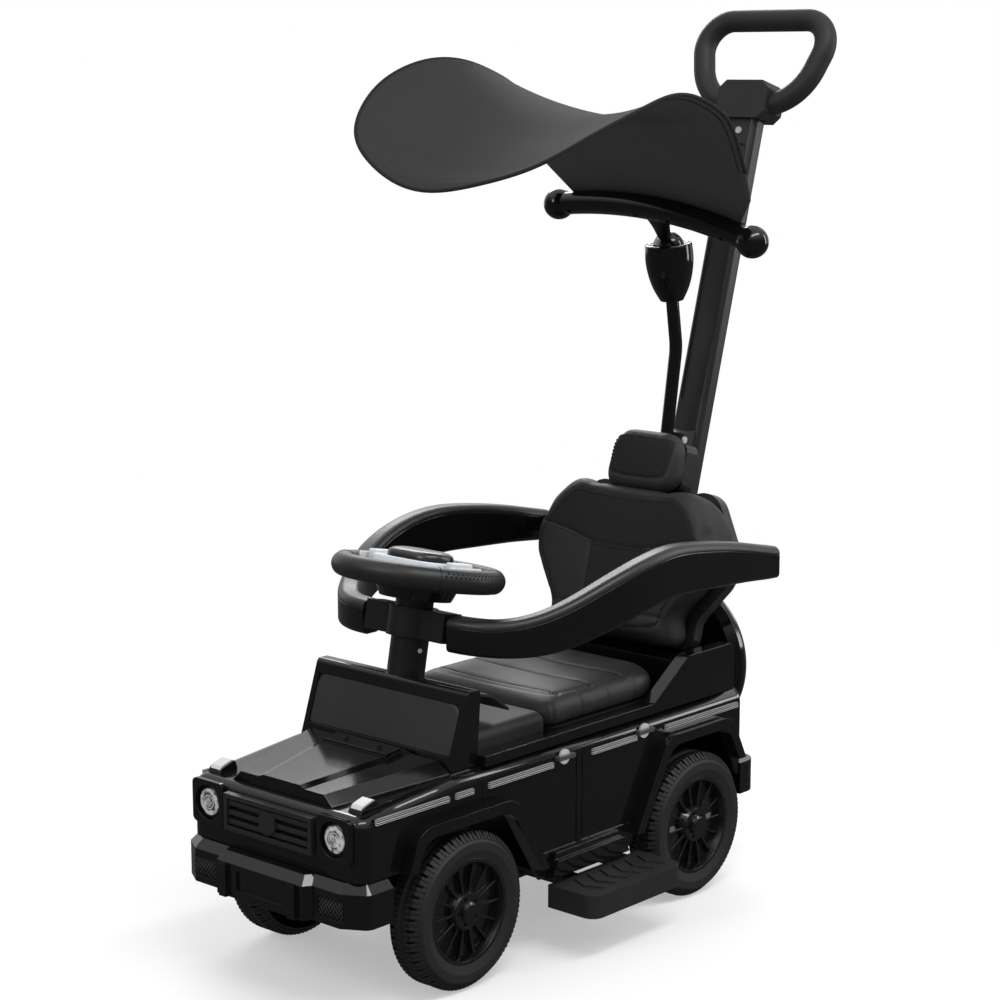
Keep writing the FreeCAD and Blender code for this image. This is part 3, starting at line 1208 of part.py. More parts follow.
# Seat: a lift-off plate and a crowned cushion with drawn-in sides and sewn channels across it
def seat_outline(inset):
    tail = s.seat_rear_x + inset
    front = s.seat_front_x - inset
    side = s.seat_half - inset
    return [(tail, -side, s.seat_rear_corner), (front, -side, s.seat_corner),
            (front, side, s.seat_corner), (tail, side, s.seat_rear_corner)]


seat_plate_low = tray_top + s.seat_gap
seat_low = seat_plate_low + s.seat_plate
seat_plate = Piece("seat_plate")
seat_plate.pad("XY", [seat_outline(s.seat_plate_inset)], seat_plate_low, seat_low)
cushion = Piece("seat_cushion")
seat_top = seat_low + s.seat_height
seat_shares = ((0, 0.5), (0.3, 0), (0.65, 0.2), (0.86, 1), (1, 3))
seat_rise = s.seat_height - s.seat_gap
cushion.loft("XY", [(seat_top - seat_rise * (1 - up), seat_outline(s.seat_side_draw * inward))
                    for up, inward in seat_shares])
channel_pitch = s.seat_channel_pitch
channel_x = s.seat_front_x - s.seat_channel_front - channel_pitch * (s.seat_channel_count - 1)
channel_half = s.seat_half + s.overrun
channel = cushion.pocket("XY", [rectangle(channel_x - s.seat_channel / 2, channel_x + s.seat_channel / 2,
                                          -channel_half, channel_half)],
                         seat_top - s.seat_channel_depth, seat_top + s.overrun)
cushion.repeat_along(channel, "X", channel_pitch * (s.seat_channel_count - 1), s.seat_channel_count)


# Backrest: a moulded shell and a shield-shaped cushion, leaning with the post
def on_rest(target):
    return place(target, s.rest_foot_x, zero, s.rest_foot_z, (0, 1, 0), -s.rest_lean_angle)


def rest_outline(inset):
    side = [(s.rest_foot_half - inset, inset, s.rest_foot_round),
            (s.rest_foot_half - inset, s.rest_hip_height, s.rest_hip_round),
            (s.rest_half - inset, s.rest_side_height, s.rest_side_round),
            (s.rest_half - inset, s.rest_wide_height, s.rest_round),
            (s.rest_shoulder_half - inset, s.rest_height - inset, s.rest_shoulder_round),
            (s.rest_notch_half - inset, s.rest_height - inset - s.rest_notch)]
    return side + [(-point[0], point[1]) + tuple(point[2:]) for point in reversed(side)]


rest = Piece("backrest_block", kept=False)
rest.pad("YZ", [rest_outline(zero)], zero, s.rest_shell)
head_low = s.rest_height - s.rest_notch + s.seat_gap
head_high = head_low + s.headrest_height
neck_half = s.headrest_half - s.headrest_edge
rest.pad("YZ", [rectangle(-neck_half, neck_half, s.rest_height - s.rest_edge, head_high - s.headrest_edge,
                          s.headrest_edge)], zero, s.rest_shell)
rest.pad("YZ", [rectangle(-neck_half, neck_half, head_low, head_high - s.headrest_edge, s.headrest_edge)],
         s.rest_shell, s.rest_shell + s.headrest_shift)
stay_high = (s.guard_rear_z - s.rest_foot_z) / cosine(s.rest_lean_angle) + s.stay_height / 2
stay_end = s.guard_rear_y - s.guard_thickness / 2 - s.seat_gap
for sign in (1, -1):
    ends = sorted((s.rest_shoulder_half * sign, stay_end * sign), key=float)
    rest.pad("YZ", [rectangle(ends[0], ends[1], stay_high - s.stay_height, stay_high)], zero, s.rest_shell)
on_rest(rest.body)

pad_back = s.rest_shell + s.seat_gap
rest_pad = Piece("backrest_cushion")
rest_shares = ((0, 0.6), (0.4, 0), (0.85, 0.4), (1, 1.6))
rest_pad.loft("YZ", [(pad_back + s.rest_cushion * out, rest_outline(s.rest_edge * inward))
                     for out, inward in rest_shares])
seam_half = s.rest_half + s.overrun
rest_pad.pocket("YZ", [rectangle(-seam_half, seam_half, s.rest_seam_height,
    s.rest_seam_height + s.rest_seam_width)],
                pad_back + s.rest_cushion - s.rest_seam_depth, pad_back + s.rest_cushion + s.overrun)
on_rest(rest_pad.body)


def head_outline(inset):
    side = s.headrest_half - inset
    return rectangle(-side, side, head_low + inset, head_high - inset, s.headrest_round - inset)


headrest = Piece("headrest_cushion")
head_back = pad_back + s.headrest_shift
headrest_shares = ((0, 0.3), (0.5, 0), (0.85, 0.5), (1, 1.4))
headrest.loft("YZ", [(head_back + s.headrest_thickness * out, head_outline(s.headrest_edge * inward))
                     for out, inward in headrest_shares])
on_rest(headrest.body)

# Push handle: a tapered-edge post with a recessed front panel
post = Piece("post_block", kept=False)
post_top = s.post_length - s.grip_drop
post.pad("XY", [post_section(zero)], zero, post_top)
panel_half = s.post_panel_width / 2
post.pocket("YZ", [rectangle(-panel_half, panel_half, s.post_panel_low, s.post_panel_high, s.post_round)],
            post_half_depth - s.post_panel_depth, post_half_depth + s.overrun)
on_post(post.body)
post_room = Piece("post_room", kept=False)
post_room.pad("XY", [post_section(s.running_gap)], zero, post_top + s.running_gap)
on_post(post_room.body)

# Grip loop: a round bar bent to a wide D, leaning further back than the post
lean = s.post_lean_angle
grip_x = s.post_foot_x - post_top * sine(lean)
grip_z = s.post_foot_z + post_top * cosine(lean)
loop_path = [
    (zero, zero), (s.grip_low_half, zero, s.grip_low_round), (s.grip_half, s.grip_height, s.grip_top_round),
    (-s.grip_half, s.grip_height, s.grip_top_round), (-s.grip_low_half, zero, s.grip_low_round),
]


def make_loop(label, radius, kept):
    piece = Piece(label, kept)
    piece.pipe("YZ", "XZ", loop_path, radius)
    return place(piece.body, grip_x, zero, grip_z, (0, 1, 0), -s.loop_lean_angle)


make_loop("handle_loop", s.grip_tube, True)
loop_room = make_loop("loop_room", s.grip_tube + s.running_gap, False)
keep("handle_post", cut("handle_post", post.body, loop_room))

# Hub: a bevelled block that joins the post to the loop
hub_block = Piece("hub_block", kept=False)
hub_top = s.post_length + s.hub_high
hub_bottom = s.post_length - s.hub_low
wide = s.hub_half_width
hub_block.pad("YZ", [[
    (s.hub_bevel - wide, hub_bottom), (wide - s.hub_bevel, hub_bottom), (wide, hub_bottom + s.hub_bevel),
    (wide, hub_top - s.hub_bevel), (wide - s.hub_bevel, hub_top), (s.hub_bevel - wide, hub_top),
    (-wide, hub_top - s.hub_bevel), (-wide, hub_bottom + s.hub_bevel),
]], -s.hub_half_depth, s.hub_half_depth)
on_post(hub_block.body)
keep("handle_hub", cut("handle_hub", hub_block.body, post_room.body, loop_room))

# Spare wheel cover: a turned disc with a ring groove, on a short neck, notched for the post
spare = Piece("spare_block", kept=False)
disc = s.spare_thickness
spare.turn("XZ", [
    (zero, zero), (s.spare_disc_radius, zero), (s.spare_disc_radius, s.spare_groove),
    (s.spare_disc_radius + s.spare_groove, s.spare_groove), (s.spare_disc_radius + s.spare_groove, zero),
    (s.spare_radius - s.spare_edge / 2, zero), (s.spare_radius, s.spare_edge),
    (s.spare_radius, disc - s.spare_edge),
    (s.spare_radius - s.spare_edge, disc), (s.spare_neck_radius, disc),
    (s.spare_neck_radius, s.body_rear_x - s.spare_front_x + disc),
    (zero, s.body_rear_x - s.spare_front_x + disc),
])
place(spare.body, s.spare_front_x - disc, zero, s.spare_z, (0, 1, 0), quarter_turn)
keep("spare_wheel_cover", cut("spare_wheel_cover", spare.body, socket_room.body, post_room.body))

# Steering tower: a hollow turned column, cut level where it stands on the deck
tower = Piece("tower_block", kept=False)
tower_foot = up_column(s.deck_z) - s.tower_sink
shaft_bore = s.shaft_radius + s.running_gap
tower.turn("XZ", [
    (s.tower_bore, tower_foot), (s.tower_radius, tower_foot), (s.tower_radius, s.tower_top),
    (shaft_bore, s.tower_top), (shaft_bore, s.tower_top - s.tower_cap),
    (s.tower_bore, s.tower_top - s.tower_cap),
])
on_column(tower.body)
below = block("below_deck", (column_x - s.wheel_height, -s.wheel_height, zero),
              (column_x + s.wheel_height, s.wheel_height, s.deck_z))
keep("steering_tower", cut("steering_tower", tower.body, below))

# Guard collar: clamps the tower and carries an arm on each side
collar_high = s.collar_low + s.collar_height
collar_block = Piece("collar_block", kept=False)
collar_block.pad("XY", [], s.collar_low, collar_high, [(zero, zero, s.collar_radius)])
collar_side = s.collar_thickness / 2
collar_block.pad("XY", [rectangle(-collar_side, collar_side, -s.collar_half, s.collar_half)], s.collar_low,
    collar_high)
on_column(collar_block.body)
keep("guard_collar", cut("guard_collar", collar_block.body, tower_notch))


# Closed wire through points in one plane, with rounded corners
def rounded_wire(points, radii):
    edges = []
    trims = []
    total = len(points)
    for index in range(total):
        radius = radii[index]
        start, end, centre = corner_arc(points[index - 1], points[index], points[(index + 1) % total], radius)
        middle = centre + (points[index] - centre).normalize() * radius
        trims.append((start, middle, end))
    for index in range(total):
        start, middle, end = trims[index]
        edges.append(Part.Arc(start, middle, end).toShape())
        edges.append(Part.LineSegment(end, trims[(index + 1) % total][0]).toShape())
    return Part.Wire(edges)


# Guard arms: round the front corner, then straight back along the side, in even steps
guard_front_z = column_z + (s.collar_low + s.collar_height / 2) * cosine(s.column_tilt_angle)
guard_front_x = column_x - (guard_front_z - column_z) * tangent(s.column_tilt_angle)
guard_corner_steps = 5
guard_low_shares = (0.01, 0, 0, 0.07, 0.22, 0.36, 0.42, 0.42, 0.4, 0.38, 0.35, 0.32)
guard_top_shares = (0.4, 0.4, 0.44, 0.59, 0.8, 0.95, 1, 0.985, 0.936, 0.87, 0.787, 0.7)


def guard_stations():
    corner = float(s.guard_corner)
    sweep = float(s.guard_sweep)
    side = float(s.guard_side_y)
    front = float(guard_front_x)
    lowest = float(s.guard_low_z)
    rise = float(s.guard_high_z) - lowest
    total = len(guard_low_shares)
    side_steps = total - 1 - guard_corner_steps
    stations = []
    for index in range(total):
        if index <= guard_corner_steps:
            turn = math.pi / 2 * index / guard_corner_steps
            spot = (front - sweep * (1 - math.cos(turn)), side - corner * (1 - math.sin(turn)))
            heading = Vector(-sweep * math.sin(turn), corner * math.cos(turn), 0).normalize()
        else:
            share = (index - guard_corner_steps) / side_steps
            reach = float(s.guard_rear_x) - (front - sweep)
            inward = float(s.guard_rear_y) - side
            spot = (front - sweep + reach * share, side + inward * share * share)
            heading = Vector(-1, 0, 0)
        low = lowest + rise * guard_low_shares[index]
        high = lowest + rise * guard_top_shares[index]
        stations.append((spot, heading, low, high))
    return stations


def guard_loft(low_round, high_round, drop_low, drop_high):
    wires = []
    thickness = float(s.guard_thickness)
    for spot, heading, low, high in guard_stations():
        across = Vector(heading.y, -heading.x, 0) * (thickness / 2)
        middle = Vector(spot[0], spot[1], 0)
        base = low if drop_low is None else high - drop_low
        up_low = Vector(0, 0, base)
        up_high = Vector(0, 0, high - drop_high)
        corners = [middle - across + up_low, middle + across + up_low,
                   middle + across + up_high, middle - across + up_high]
        wires.append(rounded_wire(corners, [low_round, low_round, high_round, high_round]))
    return Part.makeLoft(wires, True, False, False, 3)


strip_height = float(s.guard_cap)
seam = float(s.guard_seam)
arm_shape = guard_loft(float(s.guard_round), seam, None, strip_height)
strip_shape = guard_loft(seam, float(s.guard_top_round), strip_height, 0)
arm_left = keep("guard_arm_left", shaped("guard_arm_left", arm_shape))
keep("guard_arm_right", mirror("guard_arm_right", arm_left))
strip_left = shaped("guard_strip", strip_shape)
keep("guard_caps", group("guard_caps", strip_left, mirror("guard_strip_right", strip_left)))


# Steering wheel: rim, insert, bowl, horn pad and buttons, all about the column
def along_column(target, height):
    return place(target, column_x - height * sine(s.column_tilt_angle), zero,
                 column_z + height * cosine(s.column_tilt_angle), (0, 1, 0), -s.column_tilt_angle)


rim_ring = doc.addObject("Part::Torus", "steering_rim")
bind(rim_ring, Radius1=s.grip_circle, Radius2=s.grip_radius)
keep("steering_rim", along_column(rim_ring, s.wheel_height))
insert_high = s.wheel_height - s.insert_drop
insert_low = insert_high - s.insert_thickness
insert = Piece("insert_block", kept=False)


def horn_outline(growth):
    return rectangle(-s.horn_half_width - growth, s.horn_half_width + growth, -s.horn_half_length - growth,
                     s.horn_half_length + growth, s.horn_round + growth)


def button_outline(sign, growth):
    middle = s.button_y * sign
    return rectangle(-s.button_half_length - growth, s.button_half_length + growth,
                     middle - s.button_half_width - growth, middle + s.button_half_width + growth,
                     s.button_round + growth)


insert.pad("XY", [rectangle(-s.insert_half, s.insert_half, -s.grip_circle, s.grip_circle, s.insert_round)],
           insert_low, insert_high)
insert.pocket("XY", [horn_outline(s.press_gap), button_outline(1, s.press_gap),
    button_outline(-1, s.press_gap)],
              insert_low - s.overrun, insert_high + s.overrun)
on_column(insert.body)
keep("steering_insert", cut("steering_insert", insert.body, rim_ring))

bowl = Piece("steering_bowl")
bowl_low = insert_low - s.bowl_depth
bowl.turn("XZ", [
    (shaft_bore, bowl_low), (s.bowl_low_radius, bowl_low), (s.bowl_top_radius, insert_low),
    (s.bowl_top_radius - s.bowl_wall, insert_low), (s.bowl_low_radius - s.bowl_wall, bowl_low + s.bowl_wall),
    (shaft_bore, bowl_low + s.bowl_wall),
])
on_column(bowl.body)

horn = Piece("horn_pad")
horn_high = insert_high + s.horn_rise
horn.pad("XY", [horn_outline(zero)], insert_low, horn_high)
horn.round(lies_at(2, horn_high), s.horn_edge)
on_column(horn.body)
for side, sign in (("left", 1), ("right", -1)):
    button = Piece(f"button_{side}")
    button.pad("XY", [button_outline(sign, zero)], insert_low, insert_high + s.button_rise)
    on_column(button.body)

cells = []
cell_z = bowl_low + s.bowl_wall + s.cell_radius + s.seat_gap
for index in range(2):
    cell = Piece(f"cell_{index}", kept=False)
    cell_x = s.cell_x + s.cell_pitch * index
    cell.pad("XZ", [], -s.cell_length / 2, s.cell_length / 2, [(cell_x, cell_z, s.cell_radius)])
    on_column(cell.body)
    cells.append(cell.body)
module = Piece("sound_board", kept=False)
module_low = bowl_low + s.bowl_wall
module.pad("XY", [rectangle(s.module_x + s.shaft_radius, s.module_x + s.shaft_radius + s.module_width,
                            -s.module_half_length, s.module_half_length)],
           module_low, module_low + s.module_height)
on_column(module.body)
keep("sound_unit", group("sound_unit", module.body, *cells))


# Canopy pole: a bent tube behind the headrest, plugged into the cup
def tube(points, bend, radius):
    start = Vector(*points[0])
    knee = Vector(*points[1])
    end = Vector(*points[2])
    first, last, centre = corner_arc(start, knee, end, bend)
    middle = centre + (knee - centre).normalize() * bend
    path = Part.Wire([Part.LineSegment(start, first).toShape(), Part.Arc(first, middle, last).toShape(),
                      Part.LineSegment(last, end).toShape()])
    ring = Part.Wire([Part.makeCircle(radius, start, knee - start)])
    return path.makePipeShell([ring], True, False)


cup_up = (math.sin(math.radians(float(s.cup_lean_angle))), math.cos(math.radians(float(s.cup_lean_angle))))
plug = float(s.cup_plug)
pole_points = [
    (float(s.pole_foot_x), 0, float(s.pole_foot_z)),
    (float(s.pole_knee_x), 0, float(s.pole_knee_z)),
    (float(s.cup_x) + plug * cup_up[0], 0, float(s.cup_z) + plug * cup_up[1]),
]
pole = keep("canopy_pole", shaped("canopy_pole", tube(pole_points, float(s.pole_bend), float(s.pole_radius))))
pole_room = shaped("pole_room", tube(pole_points, float(s.pole_bend), float(s.pole_radius + s.running_gap)))

keep("backrest_shell", cut("backrest_shell", rest.body, pole_room))

# Bracket: holds the pole to the front of the post
bracket_low = (s.post_foot_x - (s.bracket_high_z - s.post_foot_z) * tangent(lean), -s.bracket_half,
    s.bracket_low_z)
bracket_high = (s.pole_foot_x + s.bracket_reach, s.bracket_half, s.bracket_high_z)
bracket = block("bracket_block", bracket_low, bracket_high)
rest_room = Piece("rest_room", kept=False)
rest_room.pad("YZ", [rectangle(-s.rest_half, s.rest_half, zero, s.rest_height + s.headrest_height * 2)],
              zero, s.rest_half)
on_rest(rest_room.body)
keep("pole_bracket", cut("pole_bracket", bracket, post_room.body, pole_room, rest_room.body))

# Cup: a turned socket for the canopy's ball
cup_shares = ((0.48, 0), (0.74, 0.22), (0.93, 0.5), (1, 0.8), (0.97, 1))
cup = Piece("cup_block", kept=False)
cup.turn("XZ", [
    (zero, zero), *[(s.cup_radius * out, s.cup_height * up) for out, up in cup_shares], (zero, s.cup_height),
])
place(cup.body, s.cup_x, zero, s.cup_z, (0, 1, 0), s.cup_lean_angle)
ball_x = s.cup_x + s.ball_height * sine(s.cup_lean_angle)
ball_z = s.cup_z + s.ball_height * cosine(s.cup_lean_angle)
ball_room = ball("ball_room", s.ball_radius + s.ball_gap, (ball_x, zero, ball_z))
keep("canopy_cup", cut("canopy_cup", cup.body, pole_room, ball_room))


# Canopy: drawn about the ball's centre and rolled on it as it stands
def on_ball(target):
    return place(target, ball_x, zero, ball_z, (1, 0, 0), s.canopy_roll_angle)


# The neck spreads from the ball into the bar; screw holes are shares of the bar's half length
neck_shares = ((0.2, 0), (0.45, 0.08), (0.7, 0.4), (0.9, 1))
slim_share = 0.9
hole_shares = (-0.83, -0.13, 0.2, 0.74)


def crossbar_shape():
    forward = float(s.bar_forward)
    rise = float(s.bar_rise)
    wide = float(s.bar_half)
    low = rise - float(s.bar_bow)
    arc = Part.Arc(Vector(forward, -wide, low), Vector(forward, 0, rise), Vector(forward, wide, low))
    spine = Part.Wire([arc.toShape()])
    heading = arc.tangent(arc.FirstParameter)[0]
    ring = Part.Wire([Part.makeCircle(float(s.bar_radius), Vector(forward, -wide, low), heading)])
    shape = spine.makePipeShell([ring], True, True)
    for sign in (1, -1):
        shape = shape.fuse(Part.makeSphere(float(s.knob_radius), Vector(forward, wide * sign, low)))
    shape = shape.fuse(Part.makeSphere(float(s.ball_radius), Vector(0, 0, 0)))
    sections = []
    for along, spread in neck_shares:
        centre = Vector(forward * along, 0, rise * along)
        half_width = float(s.neck_radius) + float(s.neck_spread - s.neck_radius) * spread
        side = centre + Vector(0, half_width, 0)
        front = centre + Vector(float(s.neck_radius) * slim_share, 0, 0)
        sections.append(Part.Wire([Part.Ellipse(side, front, centre).toShape()]))
    shape = shape.fuse(Part.makeLoft(sections, True, False)).removeSplitter()
    inward = Vector(-1, 0, 1).normalize()
    for share in hole_shares:
        foot = Vector(forward, wide * share, rise - float(s.bar_bow) * share * share)
        start = foot - inward * float(s.bar_radius + s.hole_depth)
        shape = shape.cut(Part.makeCylinder(float(s.hole_radius), float(s.hole_depth * 2), start, inward))
    return shape


keep("canopy_crossbar", on_ball(shaped("canopy_crossbar", crossbar_shape())))

# Canopy cloth: shares of its length, hem height, half width and sag, from the crossbar to the tip
canopy_shares = (
    (0, 0.1266, 0.821, -0.34), (0.0895, 0.427, 0.887, -0.05), (0.167, 0.723, 0.89, 0.3),
    (0.2735, 0.903, 0.921, 0.7), (0.3994, 0.993, 0.95, 0.95), (0.535, 0.999, 0.99, 1), (0.6707, 0.907, 1, 1),
    (0.7966, 0.762, 0.925, 1), (0.9031, 0.579, 0.766, 0.9), (0.9709, 0.43, 0.475, 0.8), (1, 0.323, 0, 0.75),
)
canopy_start = s.bar_forward


# The cloth at full width, one bowed section at each station
def canopy_sheet():
    spots = []
    for along, up, wide, sag in canopy_shares:
        drop = float(s.canopy_sag) * sag
        level = float(s.canopy_foot) + float(s.canopy_height) * up + drop * (1 - wide * wide)
        spots.append((float(canopy_start) + float(s.canopy_length) * along, level))
    wires = []
    last = len(spots) - 1
    for index, (along, up, wide, sag) in enumerate(canopy_shares):
        before = spots[max(index - 1, 0)]
        after = spots[min(index + 1, last)]
        heading = Vector(after[0] - before[0], 0, after[1] - before[1]).normalize()
        normal = Vector(-heading.z, 0, heading.x)
        edge = Vector(spots[index][0], 0, spots[index][1])
        reach = Vector(0, float(s.canopy_half), 0)
        low = [edge - reach, edge - Vector(0, 0, float(s.canopy_sag) * sag), edge + reach]
        high = [point + normal * float(s.canopy_cloth) for point in low]
        wires.append(Part.Wire([
            Part.Arc(*low).toShape(), Part.LineSegment(low[2], high[2]).toShape(),
            Part.Arc(*reversed(high)).toShape(), Part.LineSegment(high[0], low[0]).toShape(),
        ]))
    return Part.makeLoft(wires, True, False)


# The cloth's outline from above, with a round tip
def canopy_outline():
    near = [Vector(float(canopy_start) + float(s.canopy_length) * along, float(s.canopy_half) * wide, 0)
            for along, up, wide, sag in canopy_shares]
    far = [Vector(point.x, -point.y, 0) for point in reversed(near[:-1])]
    hem = Part.BSplineCurve()
    hem.interpolate(near + far)
    face = Part.Face(Part.Wire([hem.toShape(), Part.LineSegment(far[-1], near[0]).toShape()]))
    return face.extrude(Vector(0, 0, float(s.canopy_height * 2)))


canopy_shape = canopy_sheet().common(canopy_outline())
keep("canopy_cloth", on_ball(shaped("canopy_cloth", canopy_shape)))

# Screws: round heads on the post below the hub and on the bracket's side
post_screw = rod("post_screw", s.screw_radius, s.screw_head,
                 (post_half_depth, zero, hub_bottom - s.screw_drop), "X")
head_x = s.post_foot_x + post_half_depth * cosine(lean) - (hub_bottom - s.screw_drop) * sine(lean)
head_z = s.post_foot_z + post_half_depth * sine(lean) + (hub_bottom - s.screw_drop) * cosine(lean)
place(post_screw, head_x, zero, head_z, (0, 1, 0), quarter_turn - lean)
bracket_screw = rod("bracket_screw", s.screw_radius, s.screw_head,
                    ((bracket_low[0] + bracket_high[0]) / 2, s.bracket_half,
                     s.bracket_high_z - s.screw_radius * 2), "Y")
keep("screws", group("screws", post_screw, bracket_screw))

# Check every object, then write one file per sub-part
doc.recompute()
for item in doc.Objects:
    faults = [flag for flag in item.State if flag in ("Invalid", "Error")]
    if faults:
        raise RuntimeError(f"{item.Label}: {faults}")
os.makedirs("parts", exist_ok=True)
for label, item in nodes.items():
    if item.Shape.isNull() or not item.Shape.isValid():
        raise RuntimeError(f"{label} has no valid shape")
    item.Shape.exportStep(f"parts/{label}.step")
print(f"{len(nodes)} sub-parts written")
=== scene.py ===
import bpy
import bmesh
import math
import numpy as np
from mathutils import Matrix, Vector
from mathutils.bvhtree import BVHTree


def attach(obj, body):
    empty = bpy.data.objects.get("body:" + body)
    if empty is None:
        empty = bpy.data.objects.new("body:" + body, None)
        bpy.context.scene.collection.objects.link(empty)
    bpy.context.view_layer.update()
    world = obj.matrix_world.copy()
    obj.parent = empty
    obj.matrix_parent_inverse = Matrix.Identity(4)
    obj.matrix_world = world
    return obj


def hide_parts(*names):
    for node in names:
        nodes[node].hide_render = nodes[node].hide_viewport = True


# looks of a child's push car: finishes, sewn pads, canopy cloth and small details on the CAD frame
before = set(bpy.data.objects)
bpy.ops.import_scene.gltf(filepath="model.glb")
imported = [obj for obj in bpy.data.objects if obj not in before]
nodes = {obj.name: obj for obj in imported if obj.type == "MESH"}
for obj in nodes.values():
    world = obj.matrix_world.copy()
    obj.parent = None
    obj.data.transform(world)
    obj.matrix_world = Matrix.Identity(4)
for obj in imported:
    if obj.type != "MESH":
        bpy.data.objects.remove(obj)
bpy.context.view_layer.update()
scene = bpy.context.scene
mm = 0.001
tiny = 1e-12
fullTurn = 2 * math.pi
white = (1, 1, 1, 1)
forward, leftward, upward = np.eye(3)
print("frame loaded:", len(nodes), "nodes")


# shader maths: a wire is a socket that can stand in a sum
class Wire:
    def __init__(self, graph, socket):
        self.graph = graph
        self.socket = socket

    def other(self, key):
        return Wire(self.graph, self.socket.node.outputs[key])

    def maths(self, operation, first, second=0):
        return self.graph.node("ShaderNodeMath", {"operation": operation}, {0: first, 1: second})

    def __add__(self, other):
        return self.maths("ADD", self, other)

    def __radd__(self, other):
        return self.maths("ADD", other, self)

    def __sub__(self, other):
        return self.maths("SUBTRACT", self, other)

    def __rsub__(self, other):
        return self.maths("SUBTRACT", other, self)

    def __mul__(self, other):
        return self.maths("MULTIPLY", self, other)

    def __rmul__(self, other):
        return self.maths("MULTIPLY", other, self)

    def __abs__(self):
        return self.maths("ABSOLUTE", self)

    def most(self, other):
        return self.maths("MAXIMUM", self, other)

    def sine(self):
        return self.maths("SINE", self)

    def root(self):
        return self.maths("SQRT", self)


# sockets of a colour mix, which go by number
mixShare, mixLow, mixHigh, mixOut = 0, 6, 7, 2


class Graph:
    def __init__(self, tree):
        self.tree = tree
        tree.nodes.clear()

    def node(self, kind, settings=None, values=None, out=0):
        made = self.tree.nodes.new(kind)
        for key, value in (settings or {}).items():
            setattr(made, key, value)
        for key, value in (values or {}).items():
            if isinstance(value, Wire):
                self.tree.links.new(value.socket, made.inputs[key])
            else:
                made.inputs[key].default_value = value
        return Wire(self, made.outputs[out]) if len(made.outputs) else None

    def noise(self, place, scale, detail=2):
        return self.node("ShaderNodeTexNoise", {}, {"Vector": place, "Scale": scale, "Detail": detail})

    def blend(self, share, low, high):
        values = {mixShare: share, mixLow: low, mixHigh: high}
        return self.node("ShaderNodeMix", {"data_type": "RGBA"}, values, mixOut)

    # a darker and a paler shade of one tone
    def shades(self, share, look, key="tone"):
        dark, pale = (grey(look[key] * shade, look["warm"]) for shade in look["shades"])
        return self.blend(share, dark, pale)

    def softStep(self, value, low, high, toLow=0, toHigh=1):
        values = {"Value": value, "From Min": low, "From Max": high, "To Min": toLow, "To Max": toHigh}
        return self.node("ShaderNodeMapRange", {"interpolation_type": "SMOOTHSTEP"}, values)

    def parts(self, place):
        split = self.node("ShaderNodeSeparateXYZ", {}, {0: place})
        return [split.other(key) for key in "XYZ"]

    def glow(self, strength):
        return self.node("ShaderNodeEmission", {}, {"Color": white, "Strength": strength})

    def mixed(self, share, first, second):
        return self.node("ShaderNodeMixShader", {}, {0: share, 1: first, 2: second})


def grey(tone, warm=0):
    return (tone * (1 + warm), tone, tone * (1 - warm), 1)


def newMaterial(name):
    material = bpy.data.materials.new(name)
    material.use_nodes = True
    graph = Graph(material.node_tree)
    return material, graph, graph.node("ShaderNodeTexCoord", out="Object")


def addToScene(name, data):
    thing = bpy.data.objects.new(name, data)
    scene.collection.objects.link(thing)
    return thing


# studio: pale floor, white surroundings, soft lamps
floorLook = {"radius": 7, "segments": 96, "drop": 1.2, "tone": 0.93, "glow": 0.4, "fade": (0.55, 1.6),
             "mirror": 0.1}
worldLook = {"fill": 0.66, "skySpan": (0.12, 0.85), "skyTones": (0.1, 1.1), "backdrop": 1.0,
             "backdropAhead": (-0.745, -0.667), "backdropSpan": (0.35, 0.8)}
lamps = {
    "overheadLeft": {"at": (0.35, 1.15, 2.35), "aim": (0.1, 0.1, 0.3), "size": (2.0, 0.4), "watts": 30},
    "backRight": {"at": (-1.5, -1.5, 1.7), "aim": (0, 0, 0.4), "size": (1.4, 0.5), "watts": 22},
    "front": {"at": (2.5, -0.4, 1.9), "aim": (0.2, 0, 0.3), "size": (1.2, 0.8), "watts": 16},
    "backLeft": {"at": (-1.7, 1.3, 1.1), "aim": (-0.1, 0, 0.5), "size": (0.35, 1.4), "watts": 12},
}
photoCamera = {"at": (1.9506, 1.6904, 0.9180), "aim": (0.0654, 0, 0.4589), "lens": 86.1, "sensor": 36}


def setUp(thing, look):
    thing.location = look["at"]
    thing.rotation_mode = "QUATERNION"
    thing.rotation_quaternion = (Vector(look["aim"]) - thing.location).to_track_quat("-Z", "Y")


def buildCameraAndLamps():
    scene.view_settings.view_transform = "Standard"
    lens = bpy.data.cameras.new("photoCamera")
    lens.lens = photoCamera["lens"]
    lens.sensor_width = photoCamera["sensor"]
    scene.camera = addToScene("photoCamera", lens)
    setUp(scene.camera, photoCamera)
    for name, lamp in lamps.items():
        light = bpy.data.lights.new(name, "AREA")
        light.shape = "RECTANGLE"
        light.size, light.size_y = lamp["size"]
        light.energy = lamp["watts"]
        setUp(addToScene(name, light), lamp)


def buildFloor(look):
    mesh = bpy.data.meshes.new("floor")
    form = bmesh.new()
    bmesh.ops.create_circle(form, cap_ends=True, segments=look["segments"], radius=look["radius"])
    form.to_mesh(mesh)
    form.free()
    floor = addToScene("floor", mesh)
    floor.location.z = -look["drop"] * mm
    material, graph, place = newMaterial("paleFloor")
    away = graph.node("ShaderNodeVectorMath", {"operation": "LENGTH"}, {0: place}, "Value")
    matte = graph.node("ShaderNodeBsdfDiffuse", {}, {"Color": grey(look["tone"])})
    pale = graph.glow(1)
    near = graph.mixed(look["glow"], matte, pale)
    plain = graph.mixed(graph.softStep(away, *look["fade"]), near, pale)
    mirrored = graph.node("ShaderNodeLightPath", out="Is Glossy Ray")
    shown = graph.mixed(mirrored, plain, graph.glow(look["mirror"]))
    graph.node("ShaderNodeOutputMaterial", {}, {"Surface": shown})
    mesh.materials.append(material)


